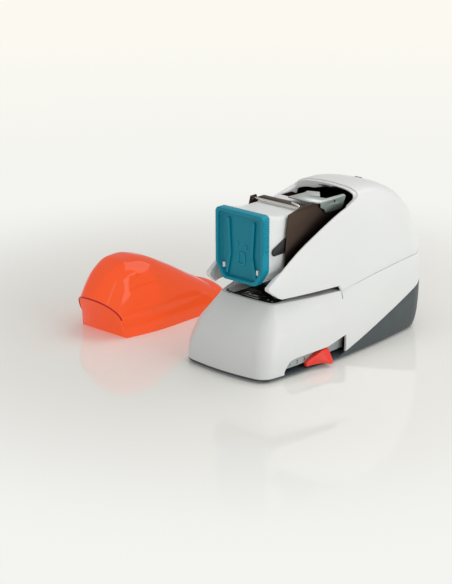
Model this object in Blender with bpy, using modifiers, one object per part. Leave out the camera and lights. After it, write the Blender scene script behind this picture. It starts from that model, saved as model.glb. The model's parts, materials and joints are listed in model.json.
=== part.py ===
"""Electric desk stapler with its front cover taken off and its staple cassette part-way out.

All lengths are millimetres and are turned into metres by MM when a mesh is made.  In the stapler's own
frame the front points to -Y, the right side to +X, and Z is up from the table top.  The loose cover lies
on the table at the stapler's left side.
"""
from math import atan2, cos, exp, pi, radians, sin, tan

import bmesh
import bpy
import numpy as np
from mathutils import Vector

MM = 0.001

# ---- driving dimensions -------------------------------------------------------------------------------
STAPLER_PLACE = (81.5, 2.2, 0.0)    # the stapler's own origin in the row frame
BODY_TOP = 182.4                    # highest point of the housing
WALL = 2.4                          # housing wall
GAP = 0.35                          # running gap between neighbours
SEAM_GAP = 0.8                      # joint between the two housings

NOSE_TOP = 78.0                     # top edge of the nose, lower edge of the paper slot
SLOT_REAR = -17.0                   # where the paper slot ends
FOOT_HEIGHT = 2.2
FLOOR_Z = 2.5                       # underside of the base pan

RIM_START = (-120.0, 101.7)         # front end of the cover opening's edge, as y and z
NOTCH_Y = 7.0                       # behind this the edge runs flatter ...
BROW_Y = 37.0                       # ... until it turns up over the dome here
CHEEK_FRONT = -119.5                # foremost point of the upper housing's cheeks
CHEEK_HEEL = (-104.0, 86.2)         # lower front corner of a cheek, as y and z

PIVOT = (72.0, 128.0)               # head pivot, as y and z
CAM_AXIS = (30.0, 52.0)
LINK_PIN = (22.0, 85.0)
CRANK_THROW = 14.0
CRANK_RADIUS = 18.0
HEAD_HALF_WIDTH = 34.8              # inner face of the head's side plates
HEAD_PLATE = 1.5
ROD_PLACE = (-52.8, 173.9)          # rod across the head, as y and z
CHASSIS_X = 38.2                    # inner face of the chassis plates
CHASSIS_PLATE = 2.0

GEAR_MODULE = 1.25
PINION_TEETH = 12
IDLER_TEETH = 36
CAM_TEETH = 40
MESH_REACH = (PINION_TEETH + IDLER_TEETH) * GEAR_MODULE / 2
CAM_REACH = (PINION_TEETH + CAM_TEETH) * GEAR_MODULE / 2
IDLER_SLOPE = -10.0                 # degrees below level, from the cam axis back to the idler
MOTOR_SLOPE = -5.0                  # degrees below level, from the idler back to the motor

SCREW_PLACES = ((-33.0, -40.0), (33.0, -40.0), (-33.0, 104.0), (33.0, 104.0))
REAR_FACE = 147.4                   # outer face of the mains inlet and of the power switch
INLET = (26.0, 26.0)                # middle of the mains inlet, as x and z
SWITCH = (-26.0, 26.0)              # middle of the power switch, as x and z

DECK_REAR = -14.0                   # rear edges of the light deck and of the dark table inside it
TABLE_REAR = -18.0
TABLE_HALF = 37.0
SENSOR_PIN = (-84.0, 66.0)          # paper sensor axis, as y and z

# Outline of the slider's recess in the right wall, as y and z.
RECESS = ((-113, -5), (-113, 9), (-109, 15.5), (-104, 19.6), (-96, 21), (-47, 22), (-34, 25), (-17, 28.8),
          (-17, -5))
KNOB_LOW = 6.9                      # underside of the red slider where it passes the base
SCALE_FACE = 62.3                   # x of the scale strip's face

CASSETTE_FRONT = -117.0
CASSETTE_HALF_WIDTH = 34.4
CASSETTE_LOW = 98.0
CASSETTE_HIGH = 178.0
CASE_REAR_TOP = 171.2               # the case's top slopes down to this towards the rear
ROLL_CENTRE = (-58.0, 138.0)        # staple roll axis, as y and z
LATCH_PIN = (-96.4, 134.6)          # cassette latch axis, as y and z

COVER_CENTRE_X = -193.5
COVER_FRONT = -134.0                # the cover's two front feet
COVER_NOSE = -156.5                 # crown of the front arch
COVER_REAR = 52.0
COVER_HALF_WIDTH = 46.5
COVER_WALL = 2.0
COVER_FAN = 14.0                    # behind this y the cover's columns fan round its rear end
COVER_CROWN = ((COVER_NOSE, 45.0), (-146.0, 61.0), (-132.0, 76.0), (-112.0, 85.5), (-98.0, 86.0),
               (-80.0, 82.5), (-50.0, 69.0), (-18.0, 51.0), (20.0, 28.0), (COVER_REAR, 2.0))

# Lofting stations of the lower half: z, nose y, half widths at SIDE_YS, nose corner radius,
# rear y, rear corner radius.
SIDE_YS = (-120.0, 15.0, 105.0)
LOWER_STATIONS = (
    (0.0, -146.5, 59.0, 69.0, 64.5, 18.0, 137.0, 32.0),
    (5.0, -147.0, 62.0, 71.5, 67.0, 18.0, 143.5, 36.0),
    (20.0, -145.5, 62.5, 72.5, 69.0, 20.0, 148.0, 38.0),
    (45.0, -136.5, 57.5, 72.0, 70.0, 24.0, 150.5, 40.0),
    (60.0, -125.0, 46.6, 70.3, 70.0, 19.0, 152.0, 42.0),
    (75.0, -110.0, 33.5, 68.2, 70.0, 9.0, 152.0, 42.0),
    (79.0, -106.3, 31.0, 67.6, 69.8, 8.0, 152.0, 42.0),
    (90.0, -98.0, 34.0, 66.6, 69.2, 8.0, 151.5, 42.0),
    (110.0, -90.0, 36.0, 64.0, 66.8, 8.0, 149.0, 43.0))
# Stations of the upper half: z, side start y, half widths at SIDE_YS, rear y, rear corner radius.
UPPER_STATIONS = (
    (78.0, CHEEK_FRONT, 47.0, 67.7, 69.9, 152.0, 42.0),
    (100.0, CHEEK_FRONT, 45.5, 65.4, 68.2, 150.5, 43.0),
    (115.0, CHEEK_FRONT, 41.0, 63.3, 66.0, 148.0, 44.0),
    (138.0, -115.0, 33.0, 58.5, 61.0, 140.5, 44.0),
    (157.0, -100.0, 32.0, 53.0, 54.0, 126.0, 42.0),
    (170.0, -80.0, 30.0, 46.8, 45.0, 105.5, 37.0),
    (176.0, -55.0, 26.0, 42.0, 38.0, 88.0, 30.0),
    (180.2, -25.0, 16.0, 29.5, 25.0, 65.0, 18.0),
    (BODY_TOP, 20.0, 1.0, 1.5, 1.0, 29.0, 1.0))

# ---- colours ------------------------------------------------------------------------------------------
FINISHES = {                        # name: (red, green, blue), roughness, metallic
    "white_plastic": ((0.82, 0.83, 0.84), 0.28, 0.0),
    "slate_plastic": ((0.09, 0.105, 0.12), 0.40, 0.0),
    "grey_plastic": ((0.60, 0.60, 0.62), 0.40, 0.0),
    "scale_plastic": ((0.46, 0.52, 0.50), 0.45, 0.0),
    "black_plastic": ((0.012, 0.012, 0.014), 0.45, 0.0),
    "red_plastic": ((0.90, 0.045, 0.02), 0.35, 0.0),
    "cover_plastic": ((1.0, 0.09, 0.015), 0.10, 0.0),
    "teal_plastic": ((0.0, 0.23, 0.36), 0.30, 0.0),
    "milky_plastic": ((0.80, 0.84, 0.85), 0.35, 0.0),
    "bronze_steel": ((0.085, 0.06, 0.05), 0.35, 0.9),
    "zinc_steel": ((0.55, 0.60, 0.58), 0.35, 1.0),
    "bright_steel": ((0.75, 0.74, 0.72), 0.20, 1.0),
    "dark_steel": ((0.035, 0.032, 0.030), 0.40, 0.8),
    "spring_steel": ((0.35, 0.35, 0.36), 0.30, 1.0),
    "rubber": ((0.02, 0.02, 0.02), 0.80, 0.0),
    "circuit_board": ((0.02, 0.12, 0.05), 0.50, 0.0),
    "lamp_plastic": ((0.10, 0.13, 0.12), 0.15, 0.0),
}


# ---- scene and objects --------------------------------------------------------------------------------
def clear_scene():
    for old in list(bpy.data.objects):
        bpy.data.objects.remove(old, do_unlink=True)


def new_collection(name):
    collection = bpy.data.collections.new(name)
    bpy.context.scene.collection.children.link(collection)
    return collection


clear_scene()
PARTS = new_collection("electric_stapler")
CUTTERS = new_collection("cutters")
STAPLER = bpy.data.objects.new("stapler_origin", None)
STAPLER.location = Vector(STAPLER_PLACE) * MM
PARTS.objects.link(STAPLER)


def finish(name):
    material = bpy.data.materials.get(name)
    if material is None:
        colour, roughness, metallic = FINISHES[name]
        material = bpy.data.materials.new(name)
        material.use_nodes = True
        shader = material.node_tree.nodes["Principled BSDF"]
        shader.inputs["Base Color"].default_value = (*colour, 1.0)
        shader.inputs["Roughness"].default_value = roughness
        shader.inputs["Metallic"].default_value = metallic
    return material


def place(name, data, material, origin=(0, 0, 0), turn=(0, 0, 0)):
    """Put a mesh or curve in the stapler's frame with its origin at the given point."""
    item = bpy.data.objects.new(name, data)
    item.location = Vector(origin) * MM
    item.rotation_euler = turn
    item.parent = STAPLER
    if material is None:
        item.hide_render = True
        item.display_type = 'WIRE'
        CUTTERS.objects.link(item)
    else:
        item.data.materials.append(finish(material))
        PARTS.objects.link(item)
    return item


def mesh_from(name, points, faces):
    mesh = bpy.data.meshes.new(name)
    mesh.from_pydata([tuple(np.array(p) * MM) for p in points], [], faces)
    mesh.validate()
    mesh.update()
    return mesh


def box(name, low, high, material, round_edges=0.0):
    """Box between two corners, made from a unit cube."""
    low, high = Vector(low), Vector(high)
    bm = bmesh.new()
    bmesh.ops.create_cube(bm, size=1.0)
    bmesh.ops.scale(bm, vec=(high - low) * MM, verts=bm.verts)
    mesh = bpy.data.meshes.new(name)
    bm.to_mesh(mesh)
    bm.free()
    item = place(name, mesh, material, (low + high) / 2)
    if round_edges:
        add_bevel(item, round_edges, 1)
    return item


def add_bevel(item, width, segments):
    bevel = item.modifiers.new("round_edges", 'BEVEL')
    bevel.width = width * MM
    bevel.segments = segments
    bevel.limit_method = 'ANGLE'
    bevel.angle_limit = radians(40)


def cut(item, cutter, operation='DIFFERENCE'):
    boolean = item.modifiers.new(operation.lower(), 'BOOLEAN')
    boolean.operation = operation
    boolean.object = cutter


AXIS_TURNS = {'X': (0, pi / 2, 0), 'Y': (-pi / 2, 0, 0), 'Z': (0, 0, 0)}


def turned(name, profile, material, centre, axis='Z', steps=20):
    """Turn a profile of (radius, height) points, listed down its outer side, round an axis."""
    points = [(r, 0, h) for r, h in profile]
    closed = profile[0][0] > 0
    edges = [(i, i + 1) for i in range(len(points) - 1)]
    if closed:
        edges.append((len(points) - 1, 0))
    mesh = bpy.data.meshes.new(name)
    mesh.from_pydata([tuple(np.array(p) * MM) for p in points], edges, [])
    item = place(name, mesh, material, centre, AXIS_TURNS[axis])
    screw = item.modifiers.new("turn", 'SCREW')
    screw.steps = steps
    screw.render_steps = steps
    screw.use_merge_vertices = True
    screw.merge_threshold = 0.00001
    return item


def rod(name, centre, radius, length, material, axis='X', steps=20):
    half = length / 2
    return turned(name, [(0, half), (radius, half), (radius, -half), (0, -half)], material, centre, axis,
                  steps)


def ring(name, centre, outer, inner, length, material, axis='X', steps=24):
    half = length / 2
    profile = [(outer, half), (outer, -half), (inner, -half), (inner, half)]
    return turned(name, profile, material, centre, axis, steps)


PLATE_TURNS = {'X': (pi / 2, 0, pi / 2), 'Y': (pi / 2, 0, 0), 'Z': (0, 0, 0)}


def plate(name, outlines, thickness, material, centre, facing='X', as_solid=False):
    """Flat plate from an outline and its holes.

    Outline points are (y, z) for a plate facing X, (x, z) facing Y and (x, y) facing Z, measured from
    the centre.
    """
    curve = bpy.data.curves.new(name, 'CURVE')
    curve.dimensions = '2D'
    curve.fill_mode = 'BOTH'
    curve.extrude = thickness / 2 * MM
    for outline in outlines:
        spline = curve.splines.new('POLY')
        spline.points.add(len(outline) - 1)
        for point, (u, v) in zip(spline.points, outline):
            point.co = (u * MM, v * MM, 0, 1)
        spline.use_cyclic_u = True
    item = place(name, curve, material, centre, PLATE_TURNS[facing])
    return solid_from_curve(item) if as_solid else item


def solid_from_curve(item):
    """Replace a curve by a welded mesh, so that it can be cut or joined."""
    bpy.context.view_layer.update()
    graph = bpy.context.evaluated_depsgraph_get()
    mesh = bpy.data.meshes.new_from_object(item.evaluated_get(graph))
    bm = bmesh.new()
    bm.from_mesh(mesh)
    bmesh.ops.remove_doubles(bm, verts=bm.verts, dist=0.00001)
    bm.to_mesh(mesh)
    bm.free()
    solid = bpy.data.objects.new(item.name, mesh)
    collection = item.users_collection[0]
    collection.objects.link(solid)
    solid.parent = STAPLER
    solid.location = item.location
    solid.rotation_euler = item.rotation_euler
    solid.hide_render = item.hide_render
    solid.display_type = item.display_type
    name = item.name
    bpy.data.objects.remove(item, do_unlink=True)
    solid.name = name
    return solid


def circle(centre, radius, count=16):
    return [(centre[0] + radius * cos(2 * pi * i / count), centre[1] + radius * sin(2 * pi * i / count))
            for i in range(count)]


def rectangle(u0, v0, u1, v1):
    return [(u0, v0), (u1, v0), (u1, v1), (u0, v1)]


# ---- body form ----------------------------------------------------------------------------------------
def station(table, z):
    """Monotone cubic interpolation of a station table at height z."""
    rows = np.array(table)
    x, y = rows[:, 0], rows[:, 1:]
    z = min(max(z, x[0]), x[-1])
    i = min(int(np.searchsorted(x, z, side='right')) - 1, len(x) - 2)
    steps = np.diff(x)
    secants = np.diff(y, axis=0) / steps[:, None]

    def slope(k):
        if k == 0:
            return secants[0]
        if k == len(x) - 1:
            return secants[-1]
        a, b = secants[k - 1], secants[k]
        same = a * b > 0
        return np.where(same, 2 * a * b / np.where(same, a + b, 1.0), 0.0)

    h = steps[i]
    t = (z - x[i]) / h
    start, end = slope(i), slope(i + 1)
    return ((1 + 2 * t) * (1 - t) ** 2 * y[i] + t * (1 - t) ** 2 * h * start
            + t * t * (3 - 2 * t) * y[i + 1] + t * t * (t - 1) * h * end)


def side_width(y, widths):
    """Half width at y: the parabola through the widths at SIDE_YS."""
    a, b, c = SIDE_YS
    return (widths[0] * (y - b) * (y - c) / ((a - b) * (a - c))
            + widths[1] * (y - a) * (y - c) / ((b - a) * (b - c))
            + widths[2] * (y - a) * (y - b) / ((c - a) * (c - b)))


REAR_SWEEP = radians(76)            # how far the rear corner arc turns before the bowed rear face


def rear_point(s, rear_y, radius, widths):
    """Right rear quarter: s runs from 0 at the rear centre, over the corner, to 1 where the side starts."""
    shift = radius * sin(REAR_SWEEP)
    side_y = rear_y - shift
    for _ in range(3):
        centre_x = side_width(side_y, widths) - radius
        edge_x = centre_x + radius * cos(REAR_SWEEP)
        bow = edge_x * tan(pi / 2 - REAR_SWEEP) / 2
        side_y = rear_y - bow - shift
    if s < 0.35:
        x = edge_x * s / 0.35
        return x, rear_y - bow * (x / edge_x) ** 2, side_y
    angle = REAR_SWEEP * (1 - s) / 0.65
    return centre_x + radius * cos(angle), side_y + radius * sin(angle), side_y


def nose_corner(nose_y, radius, widths):
    """Corner arc that joins the bowed nose face to the side: its centre, start and end angles."""
    bow = 6.0
    edge_x = 40.0
    join_y = nose_y + radius
    for _ in range(6):
        slope = (side_width(join_y + 1, widths) - side_width(join_y - 1, widths)) / 2
        end = atan2(1, slope)
        face = bow / 59.0 ** 2 * edge_x ** 2
        start = atan2(2 * bow / 59.0 ** 2 * edge_x, 1)
        centre_y = nose_y + face + radius * cos(start)
        join_y = centre_y - radius * cos(end)
        centre_x = side_width(join_y, widths) - radius * sin(end)
        edge_x = centre_x + radius * sin(start)
    return centre_x, centre_y, start, end, edge_x, join_y


# Shares of the half outline, from the rear centre to the nose centre.
REAR_SHARE = 0.28
SIDE_SHARE = 0.72
CORNER_SHARE = 0.88


def lower_point(u, z, inset=0.0):
    """Point of the lower form: u runs from -1 (nose centre, left way) over 0 (rear) to 1 (nose centre)."""
    row = station(LOWER_STATIONS, z)
    nose_y, widths, radius, rear_y, rear_radius = row[0] + inset, row[1:4] - inset, row[4], row[5], row[6]
    rear_y -= inset
    s = abs(u)
    side_y = rear_point(1.0, rear_y, rear_radius, widths)[2]
    if s <= REAR_SHARE:
        x, y, _ = rear_point(s / REAR_SHARE, rear_y, rear_radius, widths)
    else:
        centre_x, centre_y, start, end, edge_x, join_y = nose_corner(nose_y, radius, widths)
        if s <= SIDE_SHARE:
            y = side_y + (join_y - side_y) * (s - REAR_SHARE) / (SIDE_SHARE - REAR_SHARE)
            x = side_width(y, widths)
        elif s <= CORNER_SHARE:
            angle = end + (start - end) * (s - SIDE_SHARE) / (CORNER_SHARE - SIDE_SHARE)
            x = centre_x + radius * sin(angle)
            y = centre_y - radius * cos(angle)
        else:
            x = edge_x * (1 - (s - CORNER_SHARE) / (1 - CORNER_SHARE))
            y = nose_y + 6.0 / 59.0 ** 2 * x * x
    return (x if u >= 0 else -x), y, z


def upper_point(u, z, inset=0.0):
    """Point of the upper form: u runs from -1 (left cheek tip) over 0 (rear centre) to 1 (right tip)."""
    blend = min(max((z - 110.0) / 60.0, 0.0), 1.0)
    row = station(UPPER_STATIONS, min(z + inset * blend * blend * (3 - 2 * blend), BODY_TOP))
    front_y, widths, rear_y, rear_radius = row[0], row[1:4] - inset, row[4] - inset, row[5]
    widths = np.maximum(widths, 0.5)
    s = abs(u)
    if s <= REAR_SHARE:
        x, y, _ = rear_point(s / REAR_SHARE, rear_y, rear_radius, widths)
    else:
        side_y = rear_point(1.0, rear_y, rear_radius, widths)[2]
        y = side_y + (front_y - side_y) * (s - REAR_SHARE) / (1 - REAR_SHARE)
        x = side_width(y, widths)
    return (x if u >= 0 else -x), y, z


def opening_edge(y):
    """Height of the cover opening's edge: a bowed rise, a flatter run, then a steep turn over the dome."""
    run = min(y, NOTCH_Y) - RIM_START[0]
    height = RIM_START[1] + 0.638 * run - 8.7e-6 * run ** 3
    if y > NOTCH_Y:
        height += 0.28 * (y - NOTCH_Y) + 10.0 * exp((y - BROW_Y) / 2.0)
    return height


def seam(y):
    """Height of the lower housing's top edge: level at the nose, rising behind the paper slot."""
    back = max(y + 15.0, 0.0)
    return NOSE_TOP + 0.175 * back - 0.00055 * back * back


def panel_edge(y):
    """Upper edge of the dark base: a low sill in front, rising in a straight line to the rear."""
    return max(6.0, 9.0 + (y + 14.0) / 3.0)


def cheek_bottom(y):
    """Lower edge of the upper housing: tip chamfer, paper slot, then the seam."""
    heel_y, heel_z = CHEEK_HEEL
    if y < heel_y:
        return heel_z + (heel_y - y) * 0.76
    if y < SLOT_REAR - 2:
        return 84.4 + (SLOT_REAR - y) * 0.02
    if y < SLOT_REAR:
        return seam(SLOT_REAR) + SEAM_GAP + (84.4 - seam(SLOT_REAR)) * (SLOT_REAR - y) / 2
    return seam(y) + SEAM_GAP


def settle(form, u, height, inset=0.0, start=80.0):
    """Height where the column u of a form meets a boundary given as a height over y."""
    z = start
    for _ in range(12):
        z = height(form(u, z, inset)[1])
    return z


def rim_height(u, plane_drop, inset=0.0):
    """Height where a column of the upper form crosses the opening plane."""
    low, high = 80.0, BODY_TOP
    for _ in range(40):
        z = (low + high) / 2
        if z - opening_edge(upper_point(u, z, inset)[1]) + plane_drop < 0:
            low = z
        else:
            high = z
    return low


def grid_mesh(name, columns, closed, floor=False):
    """Quads between neighbouring columns of points; each column runs from its low to its high end."""
    rows = len(columns[0])
    points = [p for column in columns for p in column]
    faces = []
    count = len(columns)
    for i in range(count if closed else count - 1):
        a, b = i * rows, (i + 1) % count * rows
        for j in range(rows - 1):
            faces.append((a + j, a + j + 1, b + j + 1, b + j))
    if floor:
        faces.append([i * rows for i in range(count)])
    return mesh_from(name, points, faces)


def shell(name, columns, closed, material, wall=WALL, floor=False):
    item = place(name, grid_mesh(name, columns, closed, floor), material)
    solidify = item.modifiers.new("wall", 'SOLIDIFY')
    solidify.thickness = wall * MM
    solidify.offset = -1
    solidify.use_even_offset = True
    for polygon in item.data.polygons:
        polygon.use_smooth = True
    return item


def shares(parts):
    """Column positions from -1 to 1, from (share limit, count) runs of the half outline."""
    half = [0.0]
    for limit, count in parts:
        start = half[-1]
        half += [start + (limit - start) * (i + 1) / count for i in range(count)]
    return [-v for v in half[:0:-1]] + half


LOWER_COLUMNS = shares([(0.35 * REAR_SHARE, 2), (REAR_SHARE, 5), (SIDE_SHARE, 13), (CORNER_SHARE, 5),
                        (1.0, 3)])[1:]
UPPER_COLUMNS = shares([(0.35 * REAR_SHARE, 2), (REAR_SHARE, 5), (1.0, 11)])


# ---- housing ------------------------------------------------------------------------------------------
def base_pan():
    columns = []
    for u in LOWER_COLUMNS:
        top = settle(lower_point, u, panel_edge, start=10.0)
        columns.append([lower_point(u, FLOOR_Z + (top - FLOOR_Z) * v) for v in (0, 0.34, 0.67, 1)])
    pan = shell("base_pan", columns, True, "slate_plastic", floor=True)
    holes = [rod(f"screw_hole_{i}", (x, y, FLOOR_Z), 2.0, 12, None, 'Z', 12)
             for i, (x, y) in enumerate(SCREW_PLACES)]
    for hole in holes:
        cut(pan, hole)
    sockets = (("inlet_hole", INLET, 12.4, 10.4), ("switch_hole", SWITCH, 10.4, 7.4))
    for name, (x, z), half_x, half_z in sockets:
        cut(pan, box(name, (x - half_x, 120, z - half_z), (x + half_x, 160, z + half_z), None))
    cut(pan, prism("sill_relief", [(-110, 4.95), (-18, 4.95), (-18, 40), (-110, 40)], 60, 66))


def prism(name, outline, x0, x1):
    """Cutter with a (y, z) outline between two x places."""
    centre = ((x0 + x1) / 2, 0, 0)
    return plate(name, [outline], x1 - x0, None, centre, 'X', as_solid=True)


def lower_housing():
    columns = []
    for u in LOWER_COLUMNS:
        low = settle(lower_point, u, lambda y: panel_edge(y) + GAP, start=10.0)
        high = settle(lower_point, u, seam)
        columns.append([lower_point(u, low + (high - low) * v) for v in (0, 0.17, 0.36, 0.58, 0.8, 1)])
    housing = shell("lower_housing", columns, True, "white_plastic")
    cut(housing, prism("scale_recess", RECESS, 50, 90))


def upper_column(u, rows, plane_drop=0.0, inset=0.0):
    low = settle(upper_point, u, cheek_bottom, inset)
    high = rim_height(u, plane_drop, inset)
    crowd = 1 + 1.3 * min(max((high - 150) / 30, 0), 1)
    return [upper_point(u, low + (high - low) * (1 - (1 - j / rows) ** crowd), inset)
            for j in range(rows + 1)]


def upper_housing():
    columns = [upper_column(u, 9) for u in UPPER_COLUMNS]
    housing = shell("upper_housing", columns, False, "white_plastic")
    cut(housing, box("lens_hole", (-5.2, 88.2, 165), (5.2, 91.8, 185), None))


def inner_frame():
    """Black liner inside the upper housing, its edge set back from the opening."""
    inset = WALL + 1.0
    columns = []
    for u in UPPER_COLUMNS[2:-2]:
        low = 88.0
        high = rim_height(u, 9.0, inset)
        if high - low < 4:
            continue
        columns.append([upper_point(u, low + (high - low) * (1 - (1 - j / 6) ** 1.6), inset)
                        for j in range(7)])
    shell("inner_frame", columns, False, "black_plastic", wall=1.2)


def scale_insert():
    """Flat scale strip behind the recess on the right side; its front end follows the wall."""
    places = np.linspace(-116.0, -12.0, 9)
    columns = []
    for y in places:
        column = []
        for z in (31.0, 20.0, 10.4):
            widths = station(LOWER_STATIONS, z)[1:4] - WALL - 0.5
            column.append((min(side_width(y, widths) - (0.4 if y < -100 else 0), SCALE_FACE), y, z))
        columns.append(column)
    shell("scale_insert", columns, False, "scale_plastic", wall=1.4)


def throat_outline(inset, half, rear_y):
    """Outline inside the nose's top edge as (x, y), cut straight at the sides and at the rear."""
    right = [(half if half < 60 else side_width(rear_y, station(LOWER_STATIONS, NOSE_TOP)[1:4] - inset),
              rear_y)]
    for u in LOWER_COLUMNS:
        x, y, _ = lower_point(u, NOSE_TOP - 1.0, inset)
        if u > 0 and y < rear_y - 3:
            right.append((min(x, half), y))
    tidy = [p for i, p in enumerate(right) if i in (0, len(right) - 1) or p[0] < half
            or right[i + 1][0] < half]
    left = [(-x, y) for x, y in reversed(tidy) if x > 0.5]
    return tidy + left


def paper_deck():
    rim = WALL + 0.5
    plate("paper_deck", [throat_outline(rim, 99, DECK_REAR),
                         throat_outline(rim + 2.0, TABLE_HALF + GAP, TABLE_REAR + GAP)],
          1.6, "grey_plastic", (0, 0, NOSE_TOP - 1.0), 'Z')


def paper_table():
    holes = [rectangle(-13.3, -99.4, 13.3, -86.6)]
    for x in (-24.0, 24.0):
        holes.append(rectangle(x - 2.4, -72.0, x + 2.4, TABLE_REAR - 3))
    holes.append(rectangle(-2.4, -85.5, 2.4, -76.0))
    plate("paper_table", [throat_outline(WALL + 2.5 + GAP, TABLE_HALF, TABLE_REAR)] + holes, 1.6,
          "dark_steel", (0, 0, NOSE_TOP - 0.9), 'Z')


def anvil():
    block = box("anvil", (-12.9, -99.0, 70.0), (12.9, -87.0, NOSE_TOP + 0.1), "bright_steel")
    for i, x in enumerate((-4.0, 4.0)):
        cut(block, box(f"anvil_groove_{i}", (x - 3.2, -94.2, NOSE_TOP - 0.8), (x + 3.2, -92.2, NOSE_TOP + 3),
                       None))


def feet_and_screws():
    places = {"front_left": (-48.0, -128.0), "front_right": (48.0, -128.0),
              "rear_left": (-54.0, 112.0), "rear_right": (54.0, 112.0)}
    for name, (x, y) in places.items():
        profile = [(0, FOOT_HEIGHT), (6.2, FOOT_HEIGHT), (7.0, 1.6), (6.6, 0), (0, 0)]
        turned(f"foot_{name}", profile, "rubber", (x, y, 0), 'Z')
    for i, (x, y) in enumerate(SCREW_PLACES):
        profile = [(0, 11), (1.4, 11), (1.4, 2.15), (3.2, 2.15), (3.2, 0.9), (0, 0.9)]
        turned(f"base_screw_{i + 1}", profile, "bright_steel", (x, y, 0), 'Z', 12)


def chassis():
    floor_z = FLOOR_Z + WALL + 0.6
    holes = [circle(p, 1.9, 12) for p in SCREW_PLACES]
    plate("chassis_floor", [rectangle(-45, -52, 45, 116)] + holes, 1.2, "zinc_steel", (0, 0, floor_z + 0.6),
          'Z')
    bottom = floor_z + 1.2 + GAP
    idler, motor = idler_centre(), motor_centre()
    for name, side in (("chassis_left", -1), ("chassis_right", 1)):
        outline = [(2, bottom), (110, bottom), (112, 70), (86, 138), (60, 138), (2, 80)]
        holes = [circle(PIVOT, 4.4), circle(CAM_AXIS, 4.4)]
        if side > 0:
            holes += [circle(idler, 2.9), circle(motor, 6.6)]
        plate(name, [outline] + holes, CHASSIS_PLATE, "zinc_steel",
              (side * (CHASSIS_X + CHASSIS_PLATE / 2), 0, 0), 'X')
    rod("head_shaft", (0, *PIVOT), 4.0, 2 * (CHASSIS_X + CHASSIS_PLATE) + 4, "bright_steel", 'X')


def power_parts():
    y, z = motor_centre()
    end = CHASSIS_X - GAP
    profile = [(0, 44.0), (6.0, 44.0), (6.0, end), (16, end), (18.0, end - 2), (18.0, -26), (16, -28),
               (5, -28), (5, -31), (0, -31)]
    turned("motor", profile, "zinc_steel", (0, y, z), 'X', 28)
    box("circuit_board", (-47.6, 36, 16), (-46.0, 112, 66), "circuit_board")
    box("power_inlet", (INLET[0] - 12, 124, INLET[1] - 10), (INLET[0] + 12, REAR_FACE, INLET[1] + 10),
        "black_plastic")
    cut(bpy.data.objects["power_inlet"],
        turned("inlet_socket", [(0, 40), (8.0, 40), (8.0, -8), (0, -8)], None,
               (INLET[0], REAR_FACE, INLET[1]), 'Y', 20))
    frame = box("switch_frame", (SWITCH[0] - 10, 132, SWITCH[1] - 7),
                (SWITCH[0] + 10, REAR_FACE, SWITCH[1] + 7), "black_plastic")
    cut(frame, box("switch_well", (SWITCH[0] - 8.4, 138, SWITCH[1] - 5.4),
                   (SWITCH[0] + 8.4, REAR_FACE + 10, SWITCH[1] + 5.4), None))
    box("status_lens", (-4.9, 88.5, upper_top(90) - 2.0), (4.9, 91.5, upper_top(90) + 0.3), "lamp_plastic")


def upper_top(y):
    """Height of the dome on its centre line at y."""
    low, high = 120.0, BODY_TOP
    for _ in range(40):
        z = (low + high) / 2
        if upper_point(0.0, z)[1] > y:
            low = z
        else:
            high = z
    return low


# ---- drive --------------------------------------------------------------------------------------------
def step_from(place, reach, slope):
    return (place[0] + reach * cos(radians(slope)), place[1] + reach * sin(radians(slope)))


def idler_centre():
    return step_from(CAM_AXIS, CAM_REACH, IDLER_SLOPE)


def motor_centre():
    return step_from(idler_centre(), MESH_REACH, MOTOR_SLOPE)


def gear_outline(teeth, phase):
    """Straight-flanked teeth with running clearance; one tooth points along phase."""
    pitch_radius = teeth * GEAR_MODULE / 2
    half = pi / teeth * 0.40
    corners = ((-1.55, -1.2), (-1.0, 0.0), (-0.5, 0.85), (0.5, 0.85), (1.0, 0.0), (1.55, -1.2))
    points = []
    for tooth in range(teeth):
        centre = phase + 2 * pi * tooth / teeth
        for spread, height in corners:
            angle = centre + half * spread
            radius = pitch_radius + height * GEAR_MODULE
            points.append((radius * cos(angle), radius * sin(angle)))
    return points


def gear(name, teeth, phase, bore, x0, x1, axis, material):
    return plate(name, [gear_outline(teeth, phase), circle((0, 0), bore)], x1 - x0, material,
                 ((x0 + x1) / 2, *axis), 'X')


def gear_train():
    idler, motor = idler_centre(), motor_centre()
    to_idler = radians(IDLER_SLOPE)
    to_motor = radians(MOTOR_SLOPE)
    gear("cam_gear", CAM_TEETH, to_idler, 4.35, 49.0, 54.0, CAM_AXIS, "grey_plastic")
    gear("idler_pinion", PINION_TEETH, to_idler + pi + pi / PINION_TEETH, 2.9, 48.4, 54.6, idler,
         "bright_steel")
    gear("idler_gear", IDLER_TEETH, to_motor, 2.9, 42.4, 48.0, idler, "grey_plastic")
    gear("motor_pinion", PINION_TEETH, to_motor + pi + pi / PINION_TEETH, 1.2, 44.4, 48.6, motor,
         "bright_steel")
    x0 = CHASSIS_X + CHASSIS_PLATE + GAP
    rod("idler_axle", ((x0 + 58) / 2, *idler), 2.5, 58 - x0, "bright_steel", 'X', 16)
    rod("cam_shaft", (4.5, *CAM_AXIS), 4.0, 101, "bright_steel", 'X', 20)
    for name, side in (("crank_left", -1), ("crank_right", 1)):
        disc = ring(name, (side * 32.0, *CAM_AXIS), CRANK_RADIUS, 4.3, 4.0, "dark_steel", 'X', 20)
        pin_y, pin_z = CAM_AXIS[0] - CRANK_THROW, CAM_AXIS[1]
        cut(disc, rod(f"{name}_pin", (side * 31.2, pin_y, pin_z), 2.2, 3.8, None, 'X', 12), 'UNION')


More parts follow.
